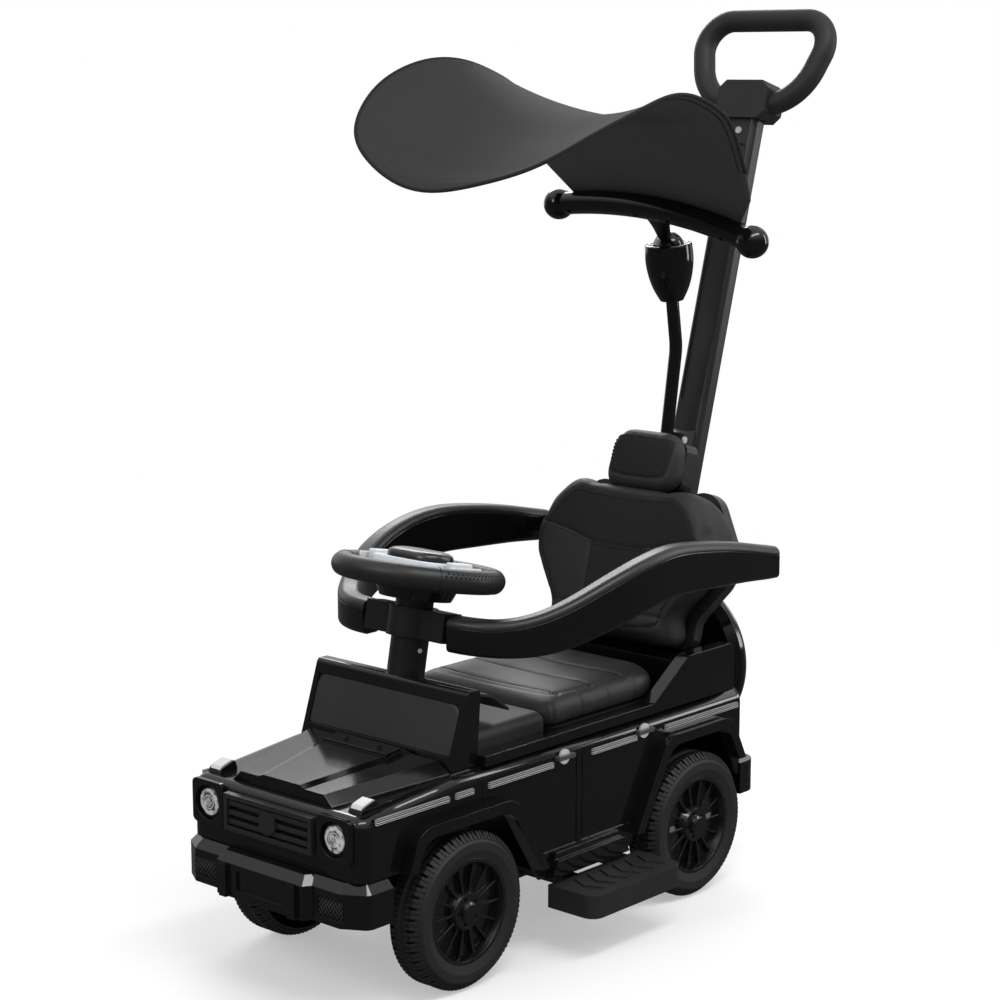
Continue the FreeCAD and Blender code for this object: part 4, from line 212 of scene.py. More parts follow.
def buildWorld(look):
    scene.world = bpy.data.worlds.new("studio")
    scene.world.use_nodes = True
    graph = Graph(scene.world.node_tree)
    direct = graph.node("ShaderNodeLightPath", out="Is Camera Ray")
    seen = direct.most(direct.other("Is Transmission Ray"))
    mirrored = direct.other("Is Glossy Ray")
    ahead, aside, height = graph.parts(graph.node("ShaderNodeTexCoord", out="Generated"))
    sky = graph.softStep(height, *look["skySpan"], *look["skyTones"])
    behind = ahead * look["backdropAhead"][0] + aside * look["backdropAhead"][1]
    backdrop = graph.softStep(behind, *look["backdropSpan"], 0, look["backdrop"])
    lit = mirrored * sky.most(backdrop) + (1 - mirrored) * look["fill"]
    strength = seen + (1 - seen) * lit
    shown = graph.node("ShaderNodeBackground", {}, {"Color": white, "Strength": strength})
    graph.node("ShaderNodeOutputWorld", {}, {"Surface": shown})


buildCameraAndLamps()
buildFloor(floorLook)
buildWorld(worldLook)
print("studio ready")

# what a finish has where its own values don't say otherwise
usualFinish = {"edge": 0.8, "bump": 0.2, "bumpDepth": 0.2, "gloss": 0.5, "warm": 0, "shades": (0.8, 1.25),
               "cloud": 14, "cloudDetail": 3, "roughSpread": 0.08}
bevelSamples = 4
noiseMiddle = 0.5
finishes = {}


# every solid finish ends here: edges rounded by a small radius, then the bump on top
def surface(graph, look, colour, rough, height, metal=0):
    rounded = graph.node("ShaderNodeBevel", {"samples": bevelSamples}, {"Radius": look["edge"] * mm})
    bump = {"Strength": look["bump"], "Distance": look["bumpDepth"] * mm, "Height": height,
            "Normal": rounded}
    values = {"Base Color": colour, "Roughness": rough, "Metallic": metal,
              "Specular IOR Level": look["gloss"], "Normal": graph.node("ShaderNodeBump", {}, bump)}
    shader = graph.node("ShaderNodeBsdfPrincipled", {}, values)
    graph.node("ShaderNodeOutputMaterial", {}, {"Surface": shader})


def addFinish(name, kind, look):
    finishes[name], graph, place = newMaterial(name)
    kind(graph, place, {**usualFinish, **look})


# moulded plastic: clouded colour, uneven gloss and a fine grain
def plastic(graph, place, look):
    cloud = graph.noise(place, look["cloud"], look["cloudDetail"])
    rough = look["rough"] + (cloud - noiseMiddle) * look["roughSpread"]
    surface(graph, look, graph.shades(cloud, look), rough, graph.noise(place, look["grain"]))


plastics = {
    "glossBlack": {"tone": 0.0035, "rough": 0.1, "roughSpread": 0.05, "grain": 160, "bump": 0.03,
                   "bumpDepth": 0.15, "edge": 1.1, "gloss": 0.4},
    "satinBlack": {"tone": 0.011, "rough": 0.38, "grain": 1100, "bump": 0.14, "edge": 0.9, "gloss": 0.4},
    "matteBlack": {"tone": 0.014, "rough": 0.55, "grain": 1300, "bump": 0.25, "edge": 0.9, "gloss": 0.28},
    "tyreBlack": {"tone": 0.01, "rough": 0.62, "grain": 700, "bump": 0.3, "edge": 0.7, "gloss": 0.4},
    "rimBlack": {"tone": 0.004, "rough": 0.16, "grain": 400, "bump": 0.05, "edge": 0.7, "gloss": 0.6},
    "towerBlack": {"tone": 0.006, "rough": 0.36, "grain": 1100, "bump": 0.12, "edge": 0.9, "gloss": 0.32},
    "gripBlack": {"tone": 0.009, "rough": 0.45, "grain": 1000, "bump": 0.25, "edge": 0.6, "gloss": 0.4},
    "insertGrey": {"tone": 0.6, "warm": -0.05, "rough": 0.34, "grain": 900, "bump": 0.08, "edge": 0.6},
    "steelGrey": {"tone": 0.35, "rough": 0.32, "grain": 1800, "bump": 0.1, "edge": 0.3},
    "frameGrey": {"tone": 0.02, "rough": 0.5, "grain": 900, "bump": 0.2, "edge": 0.5},
    # thread colour, also used on the grip's dots as painted shade for its perforations
    "threadAndHoleShadeBlack": {"tone": 0.006, "rough": 0.6, "grain": 2500, "bump": 0.3, "gloss": 0.3},
    "bulbGrey": {"tone": 0.22, "rough": 0.15, "grain": 900, "bump": 0.05, "edge": 0.3},
    "signalSilver": {"tone": 0.55, "rough": 0.18, "grain": 500, "bump": 0.15, "bumpDepth": 0.3, "edge": 0.8},
    "paneGrey": {"tone": 0.016, "rough": 0.42, "grain": 1500, "bump": 0.12, "edge": 0.8, "gloss": 0.4},
    "hornBlack": {"tone": 0.012, "warm": -0.15, "rough": 0.3, "grain": 700, "bump": 0.05, "edge": 0.6},
}
for finishName, finishLook in plastics.items():
    addFinish(finishName, plastic, finishLook)

# side trims: bright ridges with dark lines between
trimLines = {"bright": 0.5, "dark": 0.02, "pitch": 2, "soft": 0.4, "rough": 0.28, "roughSpread": 0.1,
             "bump": 0.3, "bumpDepth": 0.3, "edge": 0.3, "wear": 90, "shades": (0.85, 1.1)}


def lined(graph, place, look):
    wave = (graph.parts(place)[2] * (fullTurn / (look["pitch"] * mm))).sine()
    ridge = graph.softStep(wave, -look["soft"], look["soft"])
    worn = graph.noise(place, look["wear"])
    colour = graph.blend(ridge, grey(look["dark"]), graph.shades(worn, look, "bright"))
    surface(graph, look, colour, look["rough"] + worn * look["roughSpread"], ridge)


# door handles: bright lock disc with a dark lever across it
handleLook = {"bright": 0.46, "dark": 0.045, "level": 206, "half": 2.2, "soft": 0.4, "rough": 0.26,
              "roughSpread": 0.1, "edge": 0.4, "wear": 110, "shades": (0.8, 1.15)}


def levered(graph, place, look):
    away = abs(graph.parts(place)[2] - look["level"] * mm)
    disc = graph.softStep(away, look["half"] * mm, (look["half"] + look["soft"]) * mm)
    worn = graph.noise(place, look["wear"])
    colour = graph.blend(disc, grey(look["dark"]), graph.shades(worn, look, "bright"))
    surface(graph, look, colour, look["rough"] + worn * look["roughSpread"], worn)


# soft finishes: pebbled leather, woven cloth
leatherLook = {"pebble": 620, "groove": 0.2, "bump": 0.35, "bumpDepth": 0.25, "cloud": 22,
               "roughSpread": 0.12, "shades": (0.78, 1.24)}
leathers = {"leatherBlack": {"tone": 0.022, "rough": 0.46, "gloss": 0.42},
            "wingBlack": {"tone": 0.013, "rough": 0.55, "gloss": 0.3}}


def leather(graph, place, look):
    values = {"Vector": place, "Scale": look["pebble"]}
    cells = graph.node("ShaderNodeTexVoronoi", {"feature": "DISTANCE_TO_EDGE"}, values)
    cloud = graph.noise(place, look["cloud"], look["cloudDetail"])
    rough = look["rough"] + (cloud - noiseMiddle) * look["roughSpread"]
    surface(graph, look, graph.shades(cloud, look), rough, graph.softStep(cells, 0, look["groove"]))


clothLook = {"cloud": 260, "drift": 9, "mix": (0.63, 0.135, 0.27), "roughSpread": 0.1, "shades": (0.72, 1.3)}
cloths = {"fabricBlack": {"tone": 0.0125, "rough": 0.86, "weave": 4200, "bump": 0.4, "gloss": 0.2},
          "canopyGrey": {"tone": 0.03, "rough": 0.9, "weave": 3600, "bump": 0.35, "gloss": 0.15}}


def fabric(graph, place, look):
    x, y, z = graph.parts(place)
    weave = (y * look["weave"]).sine() * ((x + z) * look["weave"]).sine()
    cloud = graph.noise(place, look["cloud"], look["cloudDetail"])
    drift = graph.noise(place, look["drift"])
    cloudPart, weavePart, driftPart = look["mix"]
    share = cloud * cloudPart + weave * weavePart + drift * driftPart
    rough = look["rough"] + (cloud - noiseMiddle) * look["roughSpread"]
    surface(graph, look, graph.shades(share, look), rough, weave + cloud)


addFinish("trimLines", lined, trimLines)
addFinish("handleSilver", levered, handleLook)
for finishName, finishLook in leathers.items():
    addFinish(finishName, leather, {**leatherLook, **finishLook})
for finishName, finishLook in cloths.items():
    addFinish(finishName, fabric, {**clothLook, **finishLook})

corners = ("front_left", "front_right", "rear_left", "rear_right")
nodeFinishes = {
    "glossBlack": ("body_shell", "arch_flares", "sills", "hood", "front_bumper", "rear_bumper", "windshield",
                   "guard_arm_left", "guard_arm_right", "spare_wheel_cover", "canopy_pole", "canopy_cup",
                   "canopy_crossbar", "headlight_bezels", "steering_bowl", "turn_signals"),
    "towerBlack": ("steering_tower", "guard_collar"),
    "satinBlack": ("grille", "guard_caps", "pole_bracket", "handle_post", "horn_pad", "backrest_shell"),
    "matteBlack": ("floor_pan", "footrest_left", "footrest_right", "dash_brim", "front_console",
                   "storage_tray", "seat_plate", "handle_loop", "handle_hub", "sound_unit", "seat_cushion",
                   "backrest_cushion", "headrest_cushion", "canopy_cloth"),
    "tyreBlack": ["tyre_" + corner for corner in corners],
    "rimBlack": ["rim_" + corner for corner in corners],
    "gripBlack": ("steering_rim",),
    "insertGrey": ("steering_insert", "button_left", "button_right"),
    "trimLines": ("side_trims",),
    "handleSilver": ("door_handles",),
    "steelGrey": ("rear_axle", "steering_shaft", "screws"),
    "frameGrey": ("knuckle_left", "knuckle_right", "tie_rod", "front_beam"),
}


def setFinish(mesh, *names):
    mesh.materials.clear()
    for name in names:
        mesh.materials.append(finishes[name])


for finishName, members in nodeFinishes.items():
    for member in members:
        setFinish(nodes[member].data, finishName)
print("finishes set")


# shared mesh helpers
def addPiece(name, mesh, body, finishName=None):
    piece = addToScene(name, mesh)
    if finishName is not None:
        setFinish(mesh, finishName)
    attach(piece, body)
    return piece


def buildMesh(name, points, faces, smooth=True):
    mesh = bpy.data.meshes.new(name)
    mesh.from_pydata([tuple(point) for point in points], [], faces)
    mesh.update()
    if smooth:
        mesh.shade_smooth()
    return mesh


def bake(piece):
    bpy.context.view_layer.update()
    seen = piece.evaluated_get(bpy.context.evaluated_depsgraph_get())
    mesh = bpy.data.meshes.new_from_object(seen)
    piece.modifiers.clear()
    piece.data = mesh
    return mesh


def readPoints(mesh, key="co"):
    values = np.empty(len(mesh.vertices) * 3)
    mesh.vertices.foreach_get(key, values)
    return values.reshape(-1, 3)


def writePoints(mesh, points):
    mesh.vertices.foreach_set("co", np.ascontiguousarray(points, dtype=np.float32).ravel())
    mesh.update()


def unit(vectors):
    return vectors / np.maximum(np.linalg.norm(vectors, axis=-1, keepdims=True), tiny)


# forward, left and up for a piece that leans back by an angle
def leanAxes(degrees):
    lean = math.radians(degrees)
    ahead = np.array((math.cos(lean), 0, math.sin(lean)))
    return np.array((ahead, leftward, np.cross(ahead, leftward)))


def softRise(values, low, high):
    share = np.clip((values - low) / (high - low), 0, 1)
    return share * share * (3 - 2 * share)


# shortest way in a plane from each spot to a line of points
def lineDistance(spots, line):
    best = np.full(len(spots), np.inf)
    for start, end in zip(line[:-1], line[1:]):
        along = end - start
        share = np.clip(((spots - start) @ along) / max(along @ along, tiny), 0, 1)
        gap = spots - start - share[:, None] * along
        best = np.minimum(best, np.hypot(gap[:, 0], gap[:, 1]))
    return best


# corners cut again and again until the line runs smoothly
cornerCut = 0.25
cornerRounds = 3


def smoothLine(line, closed=False):
    line = np.array(line, dtype=float)
    for _ in range(cornerRounds):
        ahead = np.roll(line, -1, axis=0) if closed else line[1:]
        here = line if closed else line[:-1]
        pair = [here + (ahead - here) * share for share in (cornerCut, 1 - cornerCut)]
        cutLine = np.stack(pair, axis=1).reshape(-1, 2)
        line = cutLine if closed else np.vstack([line[:1], cutLine, line[-1:]])
    return np.vstack([line, line[:1]]) if closed else line


def insideLine(spots, line):
    inside = np.zeros(len(spots), dtype=bool)
    for start, end in zip(line[:-1], line[1:]):
        crosses = (start[1] > spots[:, 1]) != (end[1] > spots[:, 1])
        rise = end[1] - start[1] if end[1] != start[1] else tiny
        edge = start[0] + (end[0] - start[0]) * (spots[:, 1] - start[1]) / rise
        inside ^= crosses & (spots[:, 0] < edge)
    return inside


# spots at even steps along a line
def evenSpots(line, step):
    lengths = np.concatenate([[0], np.cumsum(np.linalg.norm(np.diff(line, axis=0), axis=1))])
    marks = np.arange(step / 2, lengths[-1], step)
    return np.stack([np.interp(marks, lengths, line[:, axis]) for axis in range(line.shape[1])], axis=1)


# a line that runs beside another in the plane
def beside(line, offset):
    heading = unit(np.gradient(line, axis=0))
    return line + np.stack([-heading[:, 1], heading[:, 0]], axis=1) * offset


def circle(centre, first, second, radius, count):
    turns = [fullTurn * step / count for step in range(count)]
    return [centre + (first * math.cos(turn) + second * math.sin(turn)) * radius for turn in turns]


# level outlines joined into one skin, with both ends closed or open
def skin(levels, closed=True):
    count = len(levels[0])
    points = [point for level in levels for point in level]
    faces = []
    for low in range(0, len(points) - count, count):
        for step in range(count):
            ahead = (step + 1) % count
            faces.append((low + step, low + ahead, low + count + ahead, low + count + step))
    if closed:
        faces.append(tuple(reversed(range(count))))
        faces.append(tuple(range(len(points) - count, len(points))))
    return points, faces


def joinForms(name, forms, smooth=True, scale=mm):
    points = []
    faces = []
    for formPoints, formFaces in forms:
        first = len(points)
        points.extend(np.array(point) * scale for point in formPoints)
        faces.extend(tuple(first + index for index in face) for face in formFaces)
    return buildMesh(name, points, faces, smooth)


def addForms(name, forms, body, finishName, smooth=True):
    return addPiece(name, joinForms(name, forms, smooth), body, finishName)


# a thread: short tapered stitches lying on a surface, each with its spot, normal and heading
thread = {"length": 2.9, "radius": 0.8, "step": 4.3, "lift": 0.25, "sides": 6,
          "rings": ((-0.5, 0.35), (-0.3, 1), (0.3, 1), (0.5, 0.35))}


def addStitches(name, places, body):
    forms = []
    for spot, normal, heading in places:
        across = np.cross(normal, heading)
        levels = []
        for along, thick in thread["rings"]:
            centre = spot + heading * along * thread["length"] * mm
            levels.append(circle(centre, across, normal, thick * thread["radius"] * mm, thread["sides"]))
        forms.append(skin(levels))
    return addPiece(name, joinForms(name, forms, scale=1), body, "threadAndHoleShadeBlack")


# how every cushion is made: copied, remeshed, drawn in, then filled with air against its held seams
stuffing = {"voxel": 4.6, "drawIn": 1.8, "steps": 20, "facing": 0.2, "heldShare": 0.6, "base": 5,
            "smooth": 4, "carveFacing": 0.15}


class Cushion:
    def __init__(self, node, name, look):
        self.look = look
        self.origin = np.array(look["origin"]) * mm
        self.axes = np.array(look["axes"], dtype=float)
        self.piece = addPiece(name, nodes[node].data.copy(), look["body"])
        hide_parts(node)
        remesh = self.piece.modifiers.new("even", "REMESH")
        remesh.mode = "VOXEL"
        remesh.voxel_size = stuffing["voxel"] * mm
        bake(self.piece)
        self.push(-stuffing["drawIn"])

    def flat(self, points):
        return ((points - self.origin) @ self.axes.T) / mm

    def facing(self):
        return readPoints(self.piece.data, "normal") @ self.axes[2]

    # move the surface out along its normals, in millimetres
    def push(self, rise):
        mesh = self.piece.data
        writePoints(mesh, readPoints(mesh) + readPoints(mesh, "normal") * np.reshape(rise, (-1, 1)) * mm)

    # move the surface along one of the cushion's axes, in millimetres
    def shift(self, axis, reach):
        mesh = self.piece.data
        writePoints(mesh, readPoints(mesh) + reach[:, None] * self.axes[axis] * mm)

    def blow(self, held):
        mesh = self.piece.data
        start = readPoints(mesh)
        group = self.piece.vertex_groups.new(name="held")
        group.add([int(index) for index in np.flatnonzero(held)], 1, "REPLACE")
        cloth = self.piece.modifiers.new("air", "CLOTH")
        cloth.settings.use_pressure = True
        cloth.settings.uniform_pressure_force = self.look["pressure"]
        cloth.settings.effector_weights.gravity = 0
        cloth.settings.vertex_group_mass = "held"
        cloth.point_cache.frame_start = 1
        cloth.point_cache.frame_end = stuffing["steps"]
        for step in range(1, stuffing["steps"] + 1):
            scene.frame_set(step)
        seen = self.piece.evaluated_get(bpy.context.evaluated_depsgraph_get())
        moved = readPoints(seen.to_mesh()) - start
        seen.to_mesh_clear()
        self.piece.modifiers.clear()
        self.piece.vertex_groups.clear()
        scene.frame_set(1)
        length = np.linalg.norm(moved, axis=1)
        most = self.look["swell"] * mm
        share = most * np.tanh(length / most) / np.maximum(length, tiny)
        writePoints(mesh, start + moved * share[:, None])
        print(self.piece.name, "filled, most moved", round(float(length.max() / mm), 1))

    def fill(self, lines):
        flat = self.flat(readPoints(self.piece.data))
        near = np.min([lineDistance(flat[:, :2], line) for line in lines], axis=0)
        seam = (near < stuffing["voxel"] * stuffing["heldShare"]) & (self.facing() > stuffing["facing"])
        held = (flat[:, 2] < stuffing["base"]) | seam
        self.blow(held)
        calm = self.piece.modifiers.new("calm", "SMOOTH")
        calm.iterations = stuffing["smooth"]
        finer = self.piece.modifiers.new("finer", "SUBSURF")
        finer.levels = 1
        finer.render_levels = 1
        bake(self.piece)

    def carve(self, line, width, depth):
        gap = lineDistance(self.flat(readPoints(self.piece.data))[:, :2], line)
        self.push(-depth * np.exp(-(gap / width) ** 2) * (self.facing() > stuffing["carveFacing"]))

    def paint(self, chooser, names):
        mesh = self.piece.data
        setFinish(mesh, *names)
        centres = np.empty(len(mesh.polygons) * 3)
        mesh.polygons.foreach_get("center", centres)
        marks = chooser(self.flat(centres.reshape(-1, 3))).astype(np.int32)
        mesh.polygons.foreach_set("material_index", marks)
        mesh.shade_smooth()

    def stitch(self, name, lines):
        tree = BVHTree.FromObject(self.piece, bpy.context.evaluated_depsgraph_get())
        places = []
        for line in lines:
            marks = evenSpots(line, thread["step"])
            for mark, heading in zip(marks, np.gradient(marks, axis=0)):
                above = self.origin + (np.array([*mark, self.look["above"]]) @ self.axes) * mm
                hit, normal, _, _ = tree.ray_cast(Vector(above), Vector(-self.axes[2]))
                if hit is None:
                    continue
                normal = np.array(normal)
                tangent = np.array([*heading, 0]) @ self.axes
                tangent = unit(tangent - normal * (tangent @ normal))
                places.append((np.array(hit) + normal * thread["lift"] * mm, normal, tangent))
        return addStitches(name, places, self.look["body"])


# seat: four bowed rows across, a seam round the top and pleats down the sides
seatLook = {"origin": (0, 0, 228.8), "axes": (forward, leftward, upward), "body": "seat",
            "slot": "seat_leather", "fill": 0.7, "pressure": 24, "swell": 7, "above": 120,
            "rows": (78, 25, -28, -81), "bow": 8, "rowHalf": 88, "rowPoints": 25,
            "top": ((-90, -62), (-64, -88), (74, -88), (87, -75), (87, 75), (74, 88), (-64, 88), (-90, 62)),
            "pleatStep": 45, "pleatFacing": 0.6, "rowWidth": 2.2, "rowDepth": 1.5, "seamWidth": 2,
            "seamDepth": 1.1, "frontSpan": (55, 98), "frontReach": 5}


def buildSeat(look):
    seat = Cushion("seat_cushion", "seat_leather_pad", look)
    ahead = readPoints(seat.piece.data)[:, 0] / mm
    seat.shift(0, look["frontReach"] * softRise(ahead, *look["frontSpan"]))
    reach = np.linspace(-look["rowHalf"], look["rowHalf"], look["rowPoints"])
    bow = look["bow"] * (reach / look["rowHalf"]) ** 2
    rows = [np.stack([row - bow, reach], axis=1) for row in look["rows"]]
    rim = smoothLine(look["top"], True)
    seat.fill(rows + [rim])
    for row in rows:
        seat.carve(row, look["rowWidth"], look["rowDepth"])
    seat.carve(rim, look["seamWidth"], look["seamDepth"])
    mesh = seat.piece.data
    sideways = np.abs(readPoints(mesh, "normal")[:, 1]) > look["pleatFacing"]
    step = look["pleatStep"]
    offset = (readPoints(mesh)[:, 0] / mm + step / 2) % step - step / 2
    seat.push(-look["seamDepth"] * np.exp(-(offset / look["seamWidth"]) ** 2) * sideways)
    seat.paint(lambda flat: np.zeros(len(flat)), ["leatherBlack"])
    seat.stitch("seat_row_stitches", rows)
    print("seat made")


# backrest: cloth middle in two panels, leather edge and lower wings
restLean = 15.6
restFrame = {"origin": (-171, 0, 263), "axes": np.roll(leanAxes(restLean), -1, axis=0), "body": "chassis",
             "slot": "rest_leather", "pressure": 4, "above": 140, "faceFrom": 40, "threadGap": 3}
restLook = {**restFrame, "fill": 0.65, "swell": 8,
            "rim": ((78, 12), (80, 40), (114, 88), (114, 112), (76, 166), (46, 160), (-46, 160), (-76, 166),
                    (-114, 112), (-114, 88), (-80, 40), (-78, 12)),
            "waist": ((-112, 118), (-70, 112), (-40, 103), (0, 102), (40, 103), (70, 112), (112, 118)),
            "wing": ((36, 102), (35, 60), (38, 14)), "hip": ((-78, 30), (0, 27), (78, 30)), "middleHalf": 36,
            "seamWidth": 2.1, "seamDepth": 1.5, "flare": 0.13, "flareOut": (16, 48), "flareFrom": (86, 112),
            "shoulder": 0.06, "shoulderAt": 148, "shoulderSpread": 18, "footBelow": 45, "footDrop": 6}


def buildBackrest(look):
    rest = Cushion("backrest_cushion", "backrest_pad", look)
    aside, level, out = rest.flat(readPoints(rest.piece.data)).T
    wider = look["flare"] * (1 - softRise(out, *look["flareOut"])) * softRise(level, *look["flareFrom"])
    wider += look["shoulder"] * np.exp(-((level - look["shoulderAt"]) / look["shoulderSpread"]) ** 2)
    rest.shift(0, aside * wider)
    rest.shift(1, -look["footDrop"] * softRise(-level, -look["footBelow"], 0))
    rim = smoothLine(look["rim"], True)
    waist, wing, hip = (smoothLine(look[key]) for key in ("waist", "wing", "hip"))
    seams = [rim, waist, hip, wing, wing * (-1, 1)]
    rest.fill(seams)
    for line in seams:
        rest.carve(line, look["seamWidth"], look["seamDepth"])

    def chooser(flat):
        upper = flat[:, 1] > np.interp(flat[:, 0], waist[:, 0], waist[:, 1])
        middle = upper | (np.abs(flat[:, 0]) < look["middleHalf"])
        return ~(insideLine(flat[:, :2], rim) & (flat[:, 2] > look["faceFrom"]) & middle)

    rest.paint(chooser, ["fabricBlack", "wingBlack"])
    rest.stitch("backrest_stitches", [beside(waist, -look["threadGap"]), beside(rim, look["threadGap"])])
    print("backrest made")


# headrest: a small pad with a seam round its face
headLook = {**restFrame, "fill": 0.7, "swell": 6,
            "rim": ((-42, 192), (-36, 184), (36, 184), (42, 192),
                    (42, 226), (34, 234), (-34, 234), (-42, 226)),
            "dropFrom": 22, "dropTo": 48, "top": 241, "stretch": 0.19, "taper": 0.15, "tall": 66,
            "seamWidth": 1.7, "seamDepth": 0.9}


def buildHeadrest(look):
    head = Cushion("headrest_cushion", "headrest_pad", look)
    aside, level, out = head.flat(readPoints(head.piece.data)).T
    below = look["top"] - level
    share = np.clip((out - look["dropFrom"]) / (look["dropTo"] - look["dropFrom"]), 0, 1)
    rise = np.clip(1 - below / look["tall"], 0, 1)
    head.shift(1, -below * look["stretch"] * share)
    head.shift(0, -aside * look["taper"] * rise ** 2)
    rim = smoothLine(look["rim"], True)
    head.fill([rim])
    head.carve(rim, look["seamWidth"], look["seamDepth"])

    def chooser(flat):
        return ~(insideLine(flat[:, :2], rim) & (flat[:, 2] > look["faceFrom"]))

    head.paint(chooser, ["fabricBlack", "wingBlack"])
    head.stitch("headrest_stitches", [beside(rim, look["threadGap"])])
    print("headrest made")


buildSeat(seatLook)
buildBackrest(restLook)
buildHeadrest(headLook)

# canopy: one bowed sheet from the crossbar to a round tip, hem and wire bead round the edge
canopyLook = {
    "ball": (-223.944, 0, 714.538), "roll": -6.4, "start": 34.3, "length": 392.3, "height": 164, "half": 168,
    "sag": 42, "foot": 28, "rows": 72, "columns": 49, "thick": 1.5, "hem": 11, "hemThick": 2.7, "seam": 0.8,
    "seamSpread": 1.5, "tipHalf": 0.5, "lift": 1.1, "bead": 2.1, "beadSides": 8, "beadFrom": 6, "stitchAt": 8,
    "stitchEnd": 3, "wrapTurns": (150, 120, 92), "wrapHalf": 121, "wrapRadius": 14.6, "wrapSkip": 3,
    "barRise": 45, "barBow": 15, "barHalf": 140,
    "shares": ((0, 0.1266, 0.821, -0.34), (0.0895, 0.427, 0.887, -0.05), (0.167, 0.723, 0.89, 0.3),
               (0.2735, 0.903, 0.921, 0.7), (0.3994, 0.993, 0.95, 0.95), (0.535, 0.999, 0.99, 1),
               (0.6707, 0.907, 1, 1), (0.7966, 0.762, 0.925, 1), (0.9031, 0.579, 0.766, 0.9),
               (0.9709, 0.43, 0.475, 0.8), (1, 0.323, 0, 0.75)),
}


# a smooth curve through points, a natural cubic spline, as far as one of them
def curveThrough(points, last, count):
    points = np.array(points, dtype=float)
    knots = np.concatenate([[0], np.cumsum(np.linalg.norm(np.diff(points[:, :2], axis=0), axis=1))])
    total = len(points)
    system = np.eye(total)
    pull = np.zeros_like(points)
    gaps = np.diff(knots)
    slopes = np.diff(points, axis=0) / gaps[:, None]
    for index in range(1, total - 1):
        before, after = gaps[index - 1], gaps[index]
        system[index, index - 1:index + 2] = before, 2 * (before + after), after
        pull[index] = 6 * (slopes[index] - slopes[index - 1])
    bends = np.linalg.solve(system, pull)
    marks = np.linspace(0, knots[last], count)
    spans = np.clip(np.searchsorted(knots, marks, side="right") - 1, 0, total - 2)
    gap = gaps[spans][:, None]
    back = (knots[spans + 1] - marks)[:, None]
    ahead = (marks - knots[spans])[:, None]
    low, high = bends[spans], bends[spans + 1]
    bent = (low * back ** 3 + high * ahead ** 3) / (6 * gap)
    start = (points[spans] / gap - low * gap / 6) * back
    return bent + start + (points[spans + 1] / gap - high * gap / 6) * ahead


def tube(line, radius, sides):
    headings = unit(np.gradient(line, axis=0))
    side = np.cross(headings[0], upward)
    levels = []
    for spot, heading in zip(line, headings):
        side = unit(side - heading * (side @ heading))
        levels.append(circle(spot, side, np.cross(heading, side), radius, sides))
    return skin(levels)


# the middle of the sheet as rows of points, and each row's half width
def canopyGrid(look):
    near = [(look["start"] + look["length"] * along, look["half"] * wide, look["foot"] + look["height"] * up,
             look["sag"] * sag) for along, up, wide, sag in look["shares"]]
    far = [(x, -y, hem, sag) for x, y, hem, sag in reversed(near[:-1])]
    course = curveThrough(near + far, len(near) - 1, look["rows"])
    course[-1, 1] = look["tipHalf"]
    across = np.linspace(-1, 1, look["columns"])
    x = np.repeat(course[:, :1], look["columns"], axis=1)
    y = course[:, 1:2] * across
    z = course[:, 2:3] - course[:, 3:4] * (course[:, 1:2] ** 2 - y ** 2) / look["half"] ** 2
    grid = np.stack([x, y, z + look["lift"]], axis=2)
    wraps = []
    side = look["wrapHalf"] * across
    level = look["barRise"] - look["barBow"] * (side / look["barHalf"]) ** 2
    for turn in np.radians(look["wrapTurns"]):
        ahead = np.full(look["columns"], look["start"] + look["wrapRadius"] * math.cos(turn))
        wraps.append(np.stack([ahead, side, level + look["wrapRadius"] * math.sin(turn)], axis=1))
    halves = np.concatenate([np.full(len(wraps), look["wrapHalf"]), course[look["wrapSkip"]:, 1]])
    return np.concatenate([np.array(wraps), grid[look["wrapSkip"]:]]), halves


# faces of a sheet with two sides and an edge, from a grid of points and its copy below
def sheetFaces(rows, columns):
    count = rows * columns
    faces = []
    for row in range(rows - 1):
        for column in range(columns - 1):
            spot = row * columns + column
            square = (spot, spot + 1, spot + columns + 1, spot + columns)
            faces.append(square[::-1])
            faces.append(tuple(count + index for index in square))
    loop = list(range(columns)) + [row * columns + columns - 1 for row in range(1, rows)]
    loop += [(rows - 1) * columns + column for column in range(columns - 2, -1, -1)]
    loop += [row * columns for row in range(rows - 2, 0, -1)]
    for start, end in zip(loop, loop[1:] + loop[:1]):
        faces.append((start, end, count + end, count + start))
    return faces


